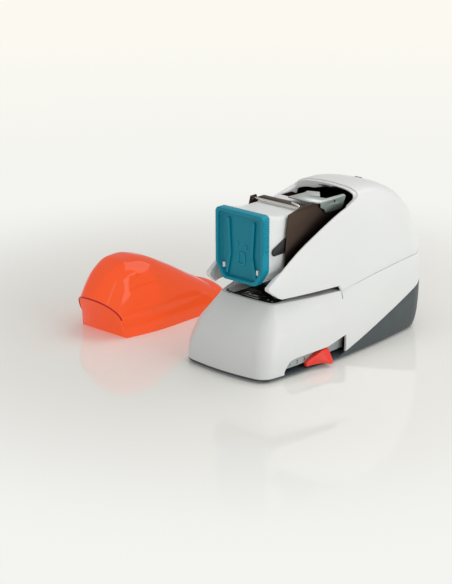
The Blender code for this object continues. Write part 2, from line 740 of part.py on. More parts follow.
def drive_link():
    """Two links under the head; each ends beside its crank pin, where the linkage is opened."""
    for name, side in (("link_left", -1), ("link_right", 1)):
        low = (CAM_AXIS[0] - CRANK_THROW, CAM_AXIS[1])
        top = LINK_PIN
        run = Vector((top[0] - low[0], top[1] - low[1])).normalized()
        across = Vector((-run.y, run.x)) * 4.5
        outline = []
        for end, sign in ((top, 1), (low, -1)):
            for i in range(9):
                angle = -pi / 2 + pi * i / 8
                point = Vector(end) + sign * (run * 4.5 * cos(angle) + across * sin(angle))
                outline.append(tuple(point))
        plate(name, [outline, circle(top, 2.5, 12)], 1.8, "zinc_steel", (side * 27.2, 0, 0), 'X')
    rod("link_pin", (0, *LINK_PIN), 2.1, 2 * (HEAD_HALF_WIDTH + HEAD_PLATE) + 1.2, "bright_steel", 'X', 16)


# ---- head ---------------------------------------------------------------------------------------------
def arc(centre, radius, start, end, count):
    """Points of an arc, angles in degrees from the first axis."""
    angles = np.linspace(radians(start), radians(end), count)
    return [(centre[0] + radius * cos(a), centre[1] + radius * sin(a)) for a in angles]


def head():
    lower = ([(-80, 97), (-62, 91), (8, 91)] + arc(LINK_PIN, 6.0, 200, 340, 6)
             + [(36, 93), (60, 112)] + arc(PIVOT, 10.0, 300, 430, 7) + [(62, 148), (34, 158)])
    right = [(14, 172), (8, 175.5), (-34.4, 175.5), (-36, 177.4), (-46, 177.8), (-59, 175.9),
             (-70, 173.7), (-77, 172.2), (-80, 148.6), (-83, 114)]
    left = [(14, 167.5), (-45, 167.5), (-48, 177.0), (-57, 177.0), (-60, 167.5), (-76, 166.5),
            (-80, 148.6), (-83, 114)]
    holes = [circle(PIVOT, 4.4), circle(LINK_PIN, 2.5, 12)]
    for name, side, outlines in (("head_plate_left", -1, [lower + left, circle(ROD_PLACE, 1.95, 12)]),
                                 ("head_plate_right", 1, [lower + right])):
        plate(name, outlines + holes, HEAD_PLATE, "bronze_steel",
              (side * (HEAD_HALF_WIDTH + HEAD_PLATE / 2), 0, 0), 'X')
    inner = HEAD_HALF_WIDTH - GAP
    plate("head_floor", [rectangle(-inner, -58, inner, 50)], 1.5, "dark_steel", (0, 0, 93.5), 'Z')
    box("head_nose", (-inner, -84, 89.6), (inner, -60, 96.4), "black_plastic", 1.2)
    box("head_bridge", (-inner, -48.5, 172.6), (inner, -36.0, 174.1), "bronze_steel")
    top = [(-2, -33), (31, -34), (39.6, -27), (39.6, 16), (36, 16), (34, -10.5), (7.4, -16), (24, -8.5),
           (12, 5.5), (-1.5, 0), (0.5, -8)]
    plate("head_top_plate", [top], 1.5, "zinc_steel", (0, 0, 176.7), 'Z')
    tab = ([(-25.5, 175.5), (-24.5, 170)] + arc((-12, 169.6), 7.4, 200, 270, 5)
           + arc((9, 168.6), 6.5, 270, 360, 5) + [(19, 175.5)])
    plate("head_tab", [tab, circle((-0.7, 172.8), 1.5, 12)], 1.4, "zinc_steel", (38.0, 0, 0), 'X')
    low, high = -HEAD_HALF_WIDTH - 2.5, inner - 5
    rod("head_rod", ((low + high) / 2, *ROD_PLACE), 1.6, high - low, "bright_steel", 'X', 12)


def hammer():
    """Lever that drives the cassette's blade; it swings with the head pivot."""
    outline = ([(12, 150), (12, 118), (20, 112), (56, 118)] + arc(PIVOT, 9.0, 230, 430, 8)
               + [(66, 142), (24, 164)])
    plate("hammer_arm", [outline, circle(PIVOT, 4.4)], 8.0, "dark_steel", (0, 0, 0), 'X')


# ---- cassette -----------------------------------------------------------------------------------------
def chamfered(half, low, high, side_cut, low_cut, top_cut):
    """Front outline of the cassette as (x, z), with cut lower corners and small upper ones."""
    return [(-half, low + low_cut), (-half + side_cut, low), (half - side_cut, low), (half, low + low_cut),
            (half, high - top_cut), (half - top_cut, high), (-half + top_cut, high), (-half, high - top_cut)]


def cassette():
    front_depth = 11.0
    middle = CASSETTE_FRONT + front_depth / 2
    outline = chamfered(CASSETTE_HALF_WIDTH, CASSETTE_LOW, CASSETTE_HIGH, 11, 17, 4)
    front = plate("cassette_front", [outline], front_depth, "teal_plastic", (0, middle, 0), 'Y', True)
    pocket = chamfered(CASSETTE_HALF_WIDTH - 5, CASSETTE_LOW + 6, CASSETTE_HIGH - 6, 9, 13, 4)
    cut(front, plate("cassette_pocket", [pocket], 10, None, (0, CASSETTE_FRONT - 2, 0), 'Y', True))
    case_front = CASSETTE_FRONT + front_depth + GAP
    case_rear = -14.0
    half = CASSETTE_HALF_WIDTH - 2.0
    length = case_rear - case_front
    middle = (case_front + case_rear) / 2
    outer = chamfered(half, CASSETTE_LOW + 1, CASSETTE_HIGH - 1.5, 9, 14, 4)
    case = plate("cassette_case", [outer], length, "milky_plastic", (0, middle, 0), 'Y', True)
    inner = chamfered(half - 1.6, CASSETTE_LOW + 2.6, CASE_REAR_TOP - 1.6, 9, 14, 3)
    cut(case, plate("case_hollow", [inner], length, None, (0, middle - 1.6, 0), 'Y', True))
    slope = [(case_front - 1, CASSETTE_HIGH - 1.5), (-78, CASE_REAR_TOP), (0, CASE_REAR_TOP), (0, 190),
             (case_front - 1, 190)]
    cut(case, prism("case_top_slope", slope, -40, 40))
    ring("staple_roll", (0, *ROLL_CENTRE), 26.0, 7.0, 24.0, "zinc_steel", 'X', 32)
    rod("roll_spindle", (0, *ROLL_CENTRE), 5.5, 2 * (half - 1.6 - GAP), "grey_plastic", 'X', 16)
    box("staple_strip", (-6.5, case_front + 1, 104.0), (6.5, -52, 104.8), "zinc_steel")
    lever = (arc(LATCH_PIN, 4.5, 120, 290, 8) + [(-79, 130.5), (-79, 147)])
    x = half + GAP + 0.8
    plate("cassette_latch", [lever], 1.4, "black_plastic", (x, 0, 0), 'X')


# ---- depth stop, sensor, switch, spring ---------------------------------------------------------------
def depth_adjuster():
    """Red slider on the right side, its inner carriage and the paper stop in the throat."""
    places = np.linspace(0.0, 1.0, 9)
    knob_back = SCALE_FACE + 0.6
    front_y, rear_y = -80.0, -45.5
    rings = []
    for s in places:
        y = front_y + (rear_y - front_y) * s
        rise = s ** 1.5 if s < 0.86 else (0.86 ** 1.5) * (1 - s) / 0.14 + 0.75 * (s - 0.86) / 0.14
        outer = 67.5 + 12.0 * rise
        top = 10.5 + 9.5 * min(1.0, s / 0.72) ** 0.8
        low = KNOB_LOW - 3.6 * min(max((outer - 73.5) / 4, 0.0), 1.0)
        rings.append([(knob_back, y, KNOB_LOW), (min(72.6, outer - 0.3), y, KNOB_LOW), (outer, y, low),
                      (outer - 0.6, y, low + 3.2), (min(outer - 1.2, 70.5 - 1.5 * s), y, top),
                      (knob_back, y, top)])
    count = len(rings[0])
    points = [p for loop in rings for p in loop]
    faces = [tuple(range(count))]
    for i in range(len(rings) - 1):
        for j in range(count):
            k = (j + 1) % count
            faces.append((i * count + j, (i + 1) * count + j, (i + 1) * count + k, i * count + k))
    faces.append(tuple((len(rings) - 1) * count + j for j in reversed(range(count))))
    place("depth_knob", mesh_from("depth_knob", points, faces), "red_plastic")
    carriage = box("depth_carriage", (48, -70, 7.2), (knob_back - 0.4, -56, 9.6), "black_plastic")
    cut(carriage, box("carriage_arm", (47, -68, 7.6), (49.5, -58, 55.6), None), 'UNION')
    cut(carriage, box("carriage_bar", (-27, -66, 52), (49, -60, 56), None), 'UNION')
    stop = box("paper_stop", (-31, -47, NOSE_TOP + 0.4), (31, -44, NOSE_TOP + 4.0), "grey_plastic")
    for i, x in enumerate((-24.0, 24.0)):
        cut(stop, box(f"stop_leg_{i}", (x - 1.6, -47, 57), (x + 1.6, -44, NOSE_TOP + 1.0), None), 'UNION')
        cut(stop, box(f"stop_foot_{i}", (x - 1.6, -66, 56.4), (x + 1.6, -44, 58.8), None), 'UNION')


def paper_sensor():
    outline = ([(-81.8, NOSE_TOP + 1.4), (-79.6, NOSE_TOP + 1.6), (-80.6, 70)]
               + arc(SENSOR_PIN, 2.6, 330, 180, 5) + [(-83.6, 69.6)])
    plate("paper_sensor", [outline], 2.0, "black_plastic", (0, 0, 0), 'X')
    box("sensor_switch", (-9, -76, 58.6), (9, -64, 66), "black_plastic")


def switch_rocker():
    y = REAR_FACE - 1.2
    outline = [(y - 5, -4.6), (y + 1.8, -4.6), (y, 0), (y + 0.6, 4.6), (y - 5, 4.6)]
    plate("switch_rocker", [outline], 16.0, "red_plastic", (SWITCH[0], 0, SWITCH[1]), 'X')


def head_spring():
    """Return spring between the chassis floor and the head floor."""
    turns, radius, low, high = 9, 5.0, 8.4, 91.6
    steps = turns * 10
    curve = bpy.data.curves.new("head_spring", 'CURVE')
    curve.dimensions = '3D'
    curve.bevel_depth = 0.7 * MM
    curve.bevel_resolution = 0
    curve.use_fill_caps = True
    spline = curve.splines.new('POLY')
    spline.points.add(steps)
    for i, point in enumerate(spline.points):
        angle = 2 * pi * turns * i / steps
        z = low + (high - low) * i / steps
        point.co = (radius * cos(angle) * MM, radius * sin(angle) * MM, z * MM, 1)
    place("head_spring", curve, "spring_steel", (0, 4, 0))


# ---- loose cover --------------------------------------------------------------------------------------
def cover_height(y):
    """Crown height of the lying cover along its length."""
    return float(station(COVER_CROWN, y)[0])


def cover_width(y):
    """Half width of the lying cover along its length."""
    if y < -60:
        return COVER_HALF_WIDTH - 10.0 * ((-60 - y) / (-60 - COVER_FRONT)) ** 2
    return COVER_HALF_WIDTH


def cover_column(q, rows):
    """One column from the rim to the crown; q runs 0..1 along a side, then 1..2 round the rear."""
    if q <= 1:
        rim_y = COVER_FRONT + (COVER_FAN - COVER_FRONT) * q
        spine_y = COVER_NOSE + (COVER_FAN - COVER_NOSE) * q
        rim_x, lift, power = cover_width(rim_y), 0.2, 2.7
    else:
        angle = (q - 1) * pi / 2
        rim_x = COVER_HALF_WIDTH * max(cos(angle), 0.0) ** (2 / 2.3)
        rim_y = COVER_FAN + (COVER_REAR - COVER_FAN) * sin(angle) ** (2 / 2.3)
        spine_y = COVER_FAN
        lift = 0.2 + 1.9 * (q - 1)
        power = 2.7 - 1.45 * (q - 1)
    crown = cover_height(spine_y)
    column = []
    for j in range(rows + 1):
        angle = pi / 2 * (1 - j / rows)
        reach = sin(angle) ** (2 / power)
        rise = (1 - reach ** power) ** (1 / power) if j else 0.0
        x = rim_x * reach
        z = lift + (crown - lift) * rise
        along = rise ** 2.4 if q <= 1 else 1 - reach
        column.append((x, rim_y + (spine_y - rim_y) * along, z))
    return column


def cover():
    """Hood open underneath; a front panel runs from the arch down to the two front feet."""
    rows = 8
    steps = [i / 10 for i in range(11)] + [1 + i / 5 for i in range(1, 6)]
    right = [cover_column(q, rows) for q in steps]
    left = [[(-x, y, z) for x, y, z in column] for column in right]
    ring_columns = left[:-1] + right[::-1]
    points = []
    index = {}

    def number(p):
        key = tuple(round(v, 3) for v in p)
        if key not in index:
            index[key] = len(points)
            points.append(p)
        return index[key]

    faces = []
    for a, b in zip(ring_columns, ring_columns[1:]):
        for j in range(rows):
            loop = [number(a[j]), number(a[j + 1]), number(b[j + 1]), number(b[j])]
            loop = [v for i, v in enumerate(loop) if v not in loop[:i]]
            if len(loop) > 2:
                faces.append(tuple(loop))
    arch = left[0] + right[0][-2::-1]
    for a, b in zip(arch, arch[1:]):
        loop = [number(a), number((a[0], COVER_FRONT, 0.2)), number((b[0], COVER_FRONT, 0.2)), number(b)]
        loop = [v for i, v in enumerate(loop) if v not in loop[:i]]
        faces.append(tuple(loop))
    mesh = mesh_from("cover", points, faces)
    item = place("cover", mesh, "cover_plastic", (COVER_CENTRE_X, 0, 0))
    solidify = item.modifiers.new("wall", 'SOLIDIFY')
    solidify.thickness = COVER_WALL * MM
    solidify.offset = -1
    solidify.use_even_offset = True
    return item


def build():
    base_pan()
    lower_housing()
    upper_housing()
    inner_frame()
    scale_insert()
    paper_deck()
    paper_table()
    anvil()
    feet_and_screws()
    chassis()
    power_parts()
    gear_train()
    drive_link()
    head()
    hammer()
    cassette()
    depth_adjuster()
    paper_sensor()
    switch_rocker()
    head_spring()
    cover()


build()
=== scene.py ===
"""Looks of the electric stapler: fine shells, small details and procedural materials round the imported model.

Lengths in the functions are millimetres in the stapler's own frame, as in the design: the front points
to -Y, the right side to +X and Z is up.  AT puts a point of that frame into the scene, in metres.
"""
import json
from math import atan2, cos, exp, pi, radians, sin, tan

import bmesh
import bpy
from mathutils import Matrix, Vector


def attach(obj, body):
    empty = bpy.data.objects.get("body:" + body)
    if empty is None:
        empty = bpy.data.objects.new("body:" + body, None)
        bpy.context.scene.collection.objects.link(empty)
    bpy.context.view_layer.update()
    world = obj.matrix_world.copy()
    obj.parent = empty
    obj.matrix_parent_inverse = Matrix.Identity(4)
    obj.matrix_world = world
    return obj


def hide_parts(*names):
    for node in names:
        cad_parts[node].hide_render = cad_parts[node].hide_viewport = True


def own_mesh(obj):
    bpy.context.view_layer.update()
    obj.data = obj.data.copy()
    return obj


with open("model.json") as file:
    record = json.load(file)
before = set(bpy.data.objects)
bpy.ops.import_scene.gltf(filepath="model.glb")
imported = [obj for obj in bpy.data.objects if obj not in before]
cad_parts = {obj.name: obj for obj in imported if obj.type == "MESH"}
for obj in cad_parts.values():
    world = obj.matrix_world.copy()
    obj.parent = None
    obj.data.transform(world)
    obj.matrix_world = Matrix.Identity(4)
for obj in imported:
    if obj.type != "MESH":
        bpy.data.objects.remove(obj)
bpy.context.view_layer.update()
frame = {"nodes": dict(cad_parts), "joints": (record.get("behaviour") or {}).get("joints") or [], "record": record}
NODES = frame["nodes"]
MM = 0.001
CREASE = radians(38)                # edges sharper than this stay crisp

PIVOT = (72.0, 128.0)               # head pivot in the stapler's frame, as y and z
HEAD_HINGE = next(j for j in frame["joints"] if j["name"] == "head_press")
ORIGIN = Vector(HEAD_HINGE["pos_m"]) - Vector((0, PIVOT[0], PIVOT[1])) * MM

# ---- driving dimensions of the visible shells ------------------------------------------------------------
BODY_TOP = 182.4
WALL = 2.4
GAP = 0.35
SEAM_GAP = 0.45
NOSE_TOP = 78.0
SLOT_REAR = -17.0
FLOOR_Z = 2.5
RIM_START = (-120.0, 101.7)         # front end of the cover opening's edge, as y and z
NOTCH_Y = 7.0                       # behind this the edge runs flatter and carries a ledge
BROW_Y = 37.0                       # here it turns up over the dome
CHEEK_FRONT = -119.5
CHEEK_HEEL = (-104.0, 86.2)
SCALE_FACE = 62.3
CASSETTE_FRONT = -117.0
CASSETTE_HALF = 34.4
CASSETTE_LOW = 98.0
CASSETTE_HIGH = 178.0
CASE_REAR_TOP = 171.2
CAP_DEPTH = 11.0
COVER_CENTRE_X = -193.5
COVER_FRONT = -134.0
COVER_NOSE = -156.5
COVER_REAR = 52.0
COVER_HALF_WIDTH = 46.5
COVER_WALL = 2.0
COVER_FAN = 14.0
COVER_CROWN = ((COVER_NOSE, 45.0), (-146.0, 61.0), (-132.0, 76.0), (-112.0, 85.5), (-98.0, 86.0),
               (-80.0, 82.5), (-50.0, 69.0), (-18.0, 51.0), (20.0, 28.0), (COVER_REAR, 2.0))

SIDE_YS = (-120.0, 15.0, 105.0)
# Lower half: z, nose y, half widths at SIDE_YS, nose corner radius, rear y, rear corner radius.
LOWER_STATIONS = (
    (0.0, -146.5, 59.0, 69.0, 64.5, 18.0, 137.0, 32.0),
    (5.0, -147.0, 62.0, 71.5, 67.0, 18.0, 143.5, 36.0),
    (20.0, -145.5, 62.5, 72.5, 69.0, 20.0, 148.0, 38.0),
    (45.0, -136.5, 57.5, 72.0, 70.0, 24.0, 150.5, 40.0),
    (60.0, -125.0, 46.6, 70.3, 70.0, 19.0, 152.0, 42.0),
    (75.0, -110.0, 33.5, 68.2, 70.0, 9.0, 152.0, 42.0),
    (79.0, -106.3, 31.0, 67.6, 69.8, 8.0, 152.0, 42.0),
    (90.0, -98.0, 34.0, 66.6, 69.2, 8.0, 151.5, 42.0),
    (110.0, -90.0, 36.0, 64.0, 66.8, 8.0, 149.0, 43.0))
# Upper half: z, side start y, half widths at SIDE_YS, rear y, rear corner radius.
UPPER_STATIONS = (
    (78.0, CHEEK_FRONT, 47.0, 67.7, 69.9, 152.0, 42.0),
    (100.0, CHEEK_FRONT, 45.5, 65.4, 68.2, 150.5, 43.0),
    (115.0, CHEEK_FRONT, 41.0, 63.3, 66.0, 148.0, 44.0),
    (138.0, -115.0, 33.0, 58.5, 61.0, 140.5, 44.0),
    (157.0, -100.0, 32.0, 53.0, 54.0, 126.0, 42.0),
    (170.0, -80.0, 30.0, 46.8, 45.0, 105.5, 37.0),
    (176.0, -55.0, 26.0, 42.0, 38.0, 88.0, 30.0),
    (180.2, -25.0, 16.0, 29.5, 25.0, 65.0, 18.0),
    (BODY_TOP, 20.0, 1.0, 1.5, 1.0, 29.0, 1.0))
REAR_SWEEP = radians(76)
REAR_SHARE, SIDE_SHARE, CORNER_SHARE = 0.28, 0.72, 0.88
RECESS = ((-113, -5), (-113, 9), (-109, 15.5), (-104, 19.6), (-96, 21), (-47, 22), (-34, 25), (-17, 28.8),
          (-17, -5))


def AT(x, y, z):
    return ORIGIN + Vector((x, y, z)) * MM


# ---- node materials --------------------------------------------------------------------------------------
class Shader:
    """Small helper round one material's node tree."""

    def __init__(self, name):
        self.material = bpy.data.materials.new("look_" + name)
        self.material.use_nodes = True
        self.tree = self.material.node_tree
        self.surface = self.tree.nodes["Principled BSDF"]
        self.output = self.tree.nodes["Material Output"]
        self.coordinates = self.node("ShaderNodeTexCoord").outputs["Object"]

    def node(self, kind, **inputs):
        node = self.tree.nodes.new(kind)
        for key, value in inputs.items():
            self.feed(node.inputs[key.replace("_", " ")], value)
        return node

    def feed(self, socket, value):
        if isinstance(value, bpy.types.NodeSocket):
            self.tree.links.new(value, socket)
        else:
            socket.default_value = value

    def stretched(self, factors):
        mapping = self.node("ShaderNodeMapping", Vector=self.coordinates, Scale=factors)
        return mapping.outputs["Vector"]

    def noise(self, scale, detail=3.0, roughness=0.55, vector=None):
        noise = self.node("ShaderNodeTexNoise", Vector=vector or self.coordinates, Scale=scale,
                          Detail=detail, Roughness=roughness)
        return noise.outputs["Fac"]

    def cells(self, scale):
        cells = self.node("ShaderNodeTexVoronoi", Vector=self.coordinates, Scale=scale)
        return cells.outputs["Distance"]

    def spread(self, value, low, high):
        """Map a 0..1 value to low..high, using its middle range."""
        stretch = self.node("ShaderNodeMapRange")
        stretch.inputs["From Min"].default_value = 0.25
        stretch.inputs["From Max"].default_value = 0.75
        stretch.inputs["To Min"].default_value = low
        stretch.inputs["To Max"].default_value = high
        self.feed(stretch.inputs["Value"], value)
        return stretch.outputs["Result"]

    def slope(self, low_place, high_place):
        """0 at one place of the stapler's frame, rising to 1 at another."""
        low, high = Vector(AT(*low_place)), Vector(AT(*high_place))
        along = (high - low).normalized()
        reach = self.node("ShaderNodeVectorMath")
        reach.operation = 'DOT_PRODUCT'
        self.feed(reach.inputs[0], self.coordinates)
        self.feed(reach.inputs[1], tuple(along))
        ramp = self.node("ShaderNodeMapRange", Value=reach.outputs["Value"])
        ramp.inputs["From Min"].default_value = low.dot(along)
        ramp.inputs["From Max"].default_value = high.dot(along)
        return ramp.outputs["Result"]

    def blend(self, factor, low, high):
        mix = self.node("ShaderNodeMix")
        mix.data_type = 'RGBA'
        colours = [socket for socket in mix.inputs if socket.type == 'RGBA']
        self.feed(mix.inputs["Factor"], factor)
        self.feed(colours[0], (*low, 1.0) if isinstance(low, tuple) else low)
        self.feed(colours[1], (*high, 1.0) if isinstance(high, tuple) else high)
        return next(socket for socket in mix.outputs if socket.type == 'RGBA')

    def mixed(self, factor, first, second):
        mix = self.node("ShaderNodeMixShader", Fac=factor)
        self.tree.links.new(first.outputs[0], mix.inputs[1])
        self.tree.links.new(second.outputs[0], mix.inputs[2])
        return mix

    def edges(self, narrow=0.52, wide=0.60):
        """About 0 on flat faces and 1 along convex edges."""
        geometry = self.node("ShaderNodeNewGeometry")
        ramp = self.node("ShaderNodeMapRange")
        ramp.inputs["From Min"].default_value = narrow
        ramp.inputs["From Max"].default_value = wide
        self.feed(ramp.inputs["Value"], geometry.outputs["Pointiness"])
        return ramp.outputs["Result"]

    def bump(self, height, strength, distance):
        bump = self.node("ShaderNodeBump", Height=height, Strength=strength, Distance=distance)
        self.feed(self.surface.inputs["Normal"], bump.outputs["Normal"])

    def set(self, **inputs):
        for key, value in inputs.items():
            self.feed(self.surface.inputs[key.replace("_", " ")], value)


def tint(colour, factor):
    return tuple(min(channel * factor, 1.0) for channel in colour)


def plastic(name, colour, low, high, grain, depth, coat=0.0, scatter=0.0, worn=1.12, shine=0.5):
    """Moulded plastic: faint clouding, uneven gloss, a fine moulded grain and slightly worn edges."""
    shader = Shader(name)
    cloud = shader.noise(14.0, 3.0)
    base = shader.blend(shader.spread(cloud, 0.0, 1.0), tint(colour, 0.985), tint(colour, 1.01))
    if worn > 1.0:
        base = shader.blend(shader.edges(), base, tint(colour, worn))
    shader.set(Base_Color=base, Roughness=shader.spread(shader.noise(90.0, 5.0), low, high))
    shader.set(Specular_IOR_Level=shine, Coat_Weight=coat, Coat_Roughness=0.08, Subsurface_Weight=scatter,
               Subsurface_Radius=(0.006, 0.005, 0.004))
    shader.bump(shader.noise(grain, 2.0), 0.35, depth)
    return shader.material


def textured_plastic(name, colour, low, high, cell, depth):
    """Spark-eroded plastic texture: small cells over a soft grain."""
    shader = Shader(name)
    base = shader.blend(shader.spread(shader.noise(45.0, 5.0), 0, 1), tint(colour, 0.88), tint(colour, 1.12))
    base = shader.blend(shader.edges(), base, tint(colour, 1.7))
    shader.set(Base_Color=base, Roughness=shader.spread(shader.noise(400.0), low, high))
    shader.bump(shader.cells(cell), 0.5, depth)
    return shader.material


def brushed(name, colour, low, high, along=(1.0, 1.0, 1.0), stain=0.85, worn=1.6):
    """Rolled or brushed metal: fine lines along one direction, soft stains, bright edges."""
    shader = Shader(name)
    lines = shader.noise(1500.0, 3.0, 0.6, shader.stretched(along))
    stains = shader.noise(55.0, 6.0, 0.6)
    base = shader.blend(shader.spread(stains, 0, 1), tint(colour, stain), tint(colour, 1.08))
    base = shader.blend(shader.spread(lines, 0, 0.35), base, tint(colour, 1.35))
    base = shader.blend(shader.edges(), base, tint(colour, worn))
    shader.set(Base_Color=base, Metallic=1.0, Roughness=shader.spread(lines, low, high))
    shader.bump(lines, 0.12, 0.00004)
    return shader.material


def browned_painted_shade_and_sheen(name, dark, light):
    """Browned steel plate with painted shade and painted reflection: painted nearly black low at the rear, lighter
    towards its upper front.
    """
    shader = Shader(name)
    lines = shader.noise(1500.0, 3.0, 0.6, shader.stretched((1.0, 0.04, 1.0)))
    # painted shade and painted reflection: the colour runs from the dark end low at the rear to the light end at
    # the upper front
    tone = shader.blend(shader.slope((0, -30, 118), (0, -78, 166)), dark, light)
    base = shader.blend(shader.edges(), tone, tint(light, 1.3))
    shader.set(Base_Color=base, Metallic=1.0, Roughness=shader.spread(lines, 0.32, 0.46))
    shader.bump(lines, 0.12, 0.00004)
    return shader.material


def galvanised(name, colour):
    """Zinc plate with faint spangles."""
    shader = Shader(name)
    spangle = shader.node("ShaderNodeTexVoronoi", Vector=shader.coordinates, Scale=140.0)
    tone = shader.node("ShaderNodeSeparateColor", Color=spangle.outputs["Color"]).outputs[0]
    base = shader.blend(tone, tint(colour, 0.95), tint(colour, 1.05))
    base = shader.blend(shader.edges(), base, tint(colour, 1.25))
    shader.set(Base_Color=base, Metallic=0.85, Roughness=shader.spread(tone, 0.36, 0.42))
    shader.bump(shader.noise(900.0), 0.12, 0.00004)
    return shader.material


def clear_tint(name, colour, deep, gloss, haze, painted_glow=0.0):
    """Thin translucent plastic: coloured see-through with a milky share, glossy on its faces and deeper
    in colour where it is seen edge-on.  The emission mixed in is painted light: it stands for light that wanders
    along inside the wall."""
    shader = Shader(name)
    facing = shader.node("ShaderNodeLayerWeight", Blend=0.30).outputs["Facing"]
    cloud = shader.spread(shader.noise(18.0, 3.0), 0.0, 1.0)
    body = shader.blend(cloud, tint(colour, 0.98), tint(colour, 1.02))
    body = shader.blend(facing, body, deep)
    clear = shader.node("ShaderNodeBsdfTransparent", Color=body)
    diffuse = shader.node("ShaderNodeBsdfDiffuse", Color=body)
    through = shader.node("ShaderNodeBsdfTranslucent", Color=body)
    soft = shader.mixed(0.5, diffuse, through)
    inside = shader.mixed(haze, clear, soft)
    # painted light: an emission in the body colour, mixed in by the share painted_glow
    if painted_glow:
        inside = shader.mixed(painted_glow, inside, shader.node("ShaderNodeEmission", Color=body))
    wave = shader.node("ShaderNodeBump", Height=shader.noise(60.0, 2.0), Strength=0.10, Distance=0.0002)
    shine = shader.node("ShaderNodeBsdfGlossy", Roughness=gloss, Normal=wave.outputs["Normal"])
    fresnel = shader.node("ShaderNodeFresnel", IOR=1.48, Normal=wave.outputs["Normal"])
    whole = shader.mixed(fresnel.outputs[0], inside, shine)
    shader.tree.links.new(whole.outputs[0], shader.output.inputs["Surface"])
    shader.set(Base_Color=(*colour, 1.0), Roughness=gloss)
    return shader.material


def milky(name, colour):
    """Milky polypropylene that lets light wander inside."""
    shader = Shader(name)
    base = shader.blend(shader.spread(shader.noise(30.0, 4.0), 0, 1), tint(colour, 0.96), tint(colour, 1.02))
    shader.set(Base_Color=base, Roughness=shader.spread(shader.noise(120.0), 0.28, 0.42),
               Subsurface_Weight=0.6, Subsurface_Radius=(0.008, 0.009, 0.010))
    shader.bump(shader.noise(500.0), 0.15, 0.00005)
    return shader.material


def ribbed_steel(name, colour):
    shader = Shader(name)
    wave = shader.node("ShaderNodeTexWave", Vector=shader.coordinates, Scale=240.0, Distortion=0.0)
    wave.bands_direction = 'Y'
    lines = wave.outputs["Fac"]
    shader.set(Base_Color=shader.blend(lines, tint(colour, 0.7), tint(colour, 1.2)), Metallic=0.8,
               Roughness=shader.spread(shader.noise(300.0), 0.35, 0.55))
    shader.bump(lines, 0.4, 0.0002)
    return shader.material


def staple_pack(name, colour):
    """Side of a coil of glued staple wires: fine rings round the roll's axis."""
    shader = Shader(name)
    wires = shader.noise(2600.0, 2.0, 0.5, shader.stretched((0.02, 1.0, 1.0)))
    shader.set(Base_Color=shader.blend(wires, tint(colour, 0.7), tint(colour, 1.15)), Metallic=1.0,
               Roughness=shader.spread(wires, 0.25, 0.5))
    shader.bump(wires, 0.3, 0.0001)
    return shader.material


WHITE = (0.785, 0.805, 0.81)
LOOKS = {
    "white_plastic": plastic("white_plastic", WHITE, 0.32, 0.42, 700.0, 0.00002, coat=0.12, worn=1.0),
    "slate_plastic": textured_plastic("slate_plastic", (0.055, 0.070, 0.080), 0.38, 0.50, 1500.0, 0.00006),
    "grey_plastic": plastic("grey_plastic", (0.50, 0.49, 0.50), 0.35, 0.48, 900.0, 0.00005),
    "scale_plastic": plastic("scale_plastic", (0.42, 0.47, 0.47), 0.40, 0.52, 900.0, 0.00004),
    "black_plastic": textured_plastic("black_plastic", (0.010, 0.010, 0.012), 0.38, 0.52, 1300.0, 0.00006),
    "red_plastic": plastic("red_plastic", (0.86, 0.040, 0.022), 0.28, 0.38, 800.0, 0.00003, scatter=0.08),
    # the last number of cover_plastic and cover_edge is their share of painted light, an emission in the body
    # colour
    "cover_plastic": clear_tint("cover_plastic", (1.0, 0.120, 0.024), (1.0, 0.060, 0.02), 0.08, 0.55, 0.78),
    "cover_edge": clear_tint("cover_edge", (0.50, 0.012, 0.010), (0.42, 0.006, 0.012), 0.10, 0.60, 0.45),
    "teal_plastic": plastic("teal_plastic", (0.0, 0.230, 0.330), 0.26, 0.36, 700.0, 0.00003, shine=0.25,
                            scatter=0.10, worn=1.5),
    "milky_plastic": milky("milky_plastic", (0.80, 0.83, 0.84)),
    # bronze plates: painted shade low at the rear, painted reflection towards the upper front
    "bronze_steel": browned_painted_shade_and_sheen("bronze_steel", (0.020, 0.015, 0.015), (0.078, 0.054, 0.043)),
    "zinc_steel": galvanised("zinc_steel", (0.53, 0.57, 0.56)),
    "dull_zinc": galvanised("dull_zinc", (0.25, 0.30, 0.29)),
    "bright_steel": brushed("bright_steel", (0.72, 0.70, 0.67), 0.14, 0.28, (0.03, 1.0, 1.0), 0.9, 1.2),
    "dark_steel": brushed("dark_steel", (0.040, 0.037, 0.035), 0.32, 0.50, (0.05, 1.0, 1.0), 0.8),
    "spring_steel": brushed("spring_steel", (0.35, 0.35, 0.36), 0.22, 0.38, (1.0, 1.0, 0.05), 0.8),
    "rubber": textured_plastic("rubber", (0.018, 0.018, 0.018), 0.75, 0.90, 900.0, 0.00010),
    "circuit_board": textured_plastic("circuit_board", (0.015, 0.11, 0.045), 0.40, 0.60, 300.0, 0.00008),
    "lamp_plastic": clear_tint("lamp_plastic", (0.10, 0.13, 0.12), (0.03, 0.05, 0.04), 0.08, 0.7),
    "staples": staple_pack("staples", (0.55, 0.56, 0.56)),
    "ribbed_steel": ribbed_steel("ribbed_steel", (0.030, 0.028, 0.027)),
    "ink": textured_plastic("ink", (0.018, 0.018, 0.020), 0.5, 0.6, 900.0, 0.00002),
}


# ---- pieces ----------------------------------------------------------------------------------------------
def add_piece(name, data, look, body, replaces=()):
    """Put new data, given in scene metres, on a body and give it a look."""
    item = bpy.data.objects.new(name, data)
    bpy.context.scene.collection.objects.link(item)
    item.data.materials.append(LOOKS[look])
    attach(item, body)
    if replaces:
        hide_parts(*replaces)
    return item


def mesh_of(name, points, faces):
    """Mesh from points in the stapler's frame, smooth with crisp creases."""
    mesh = bpy.data.meshes.new(name)
    mesh.from_pydata([AT(*p) for p in points], [], faces)
    mesh.validate()
    mesh.shade_smooth()
    mesh.set_sharp_from_angle(angle=CREASE)
    return mesh


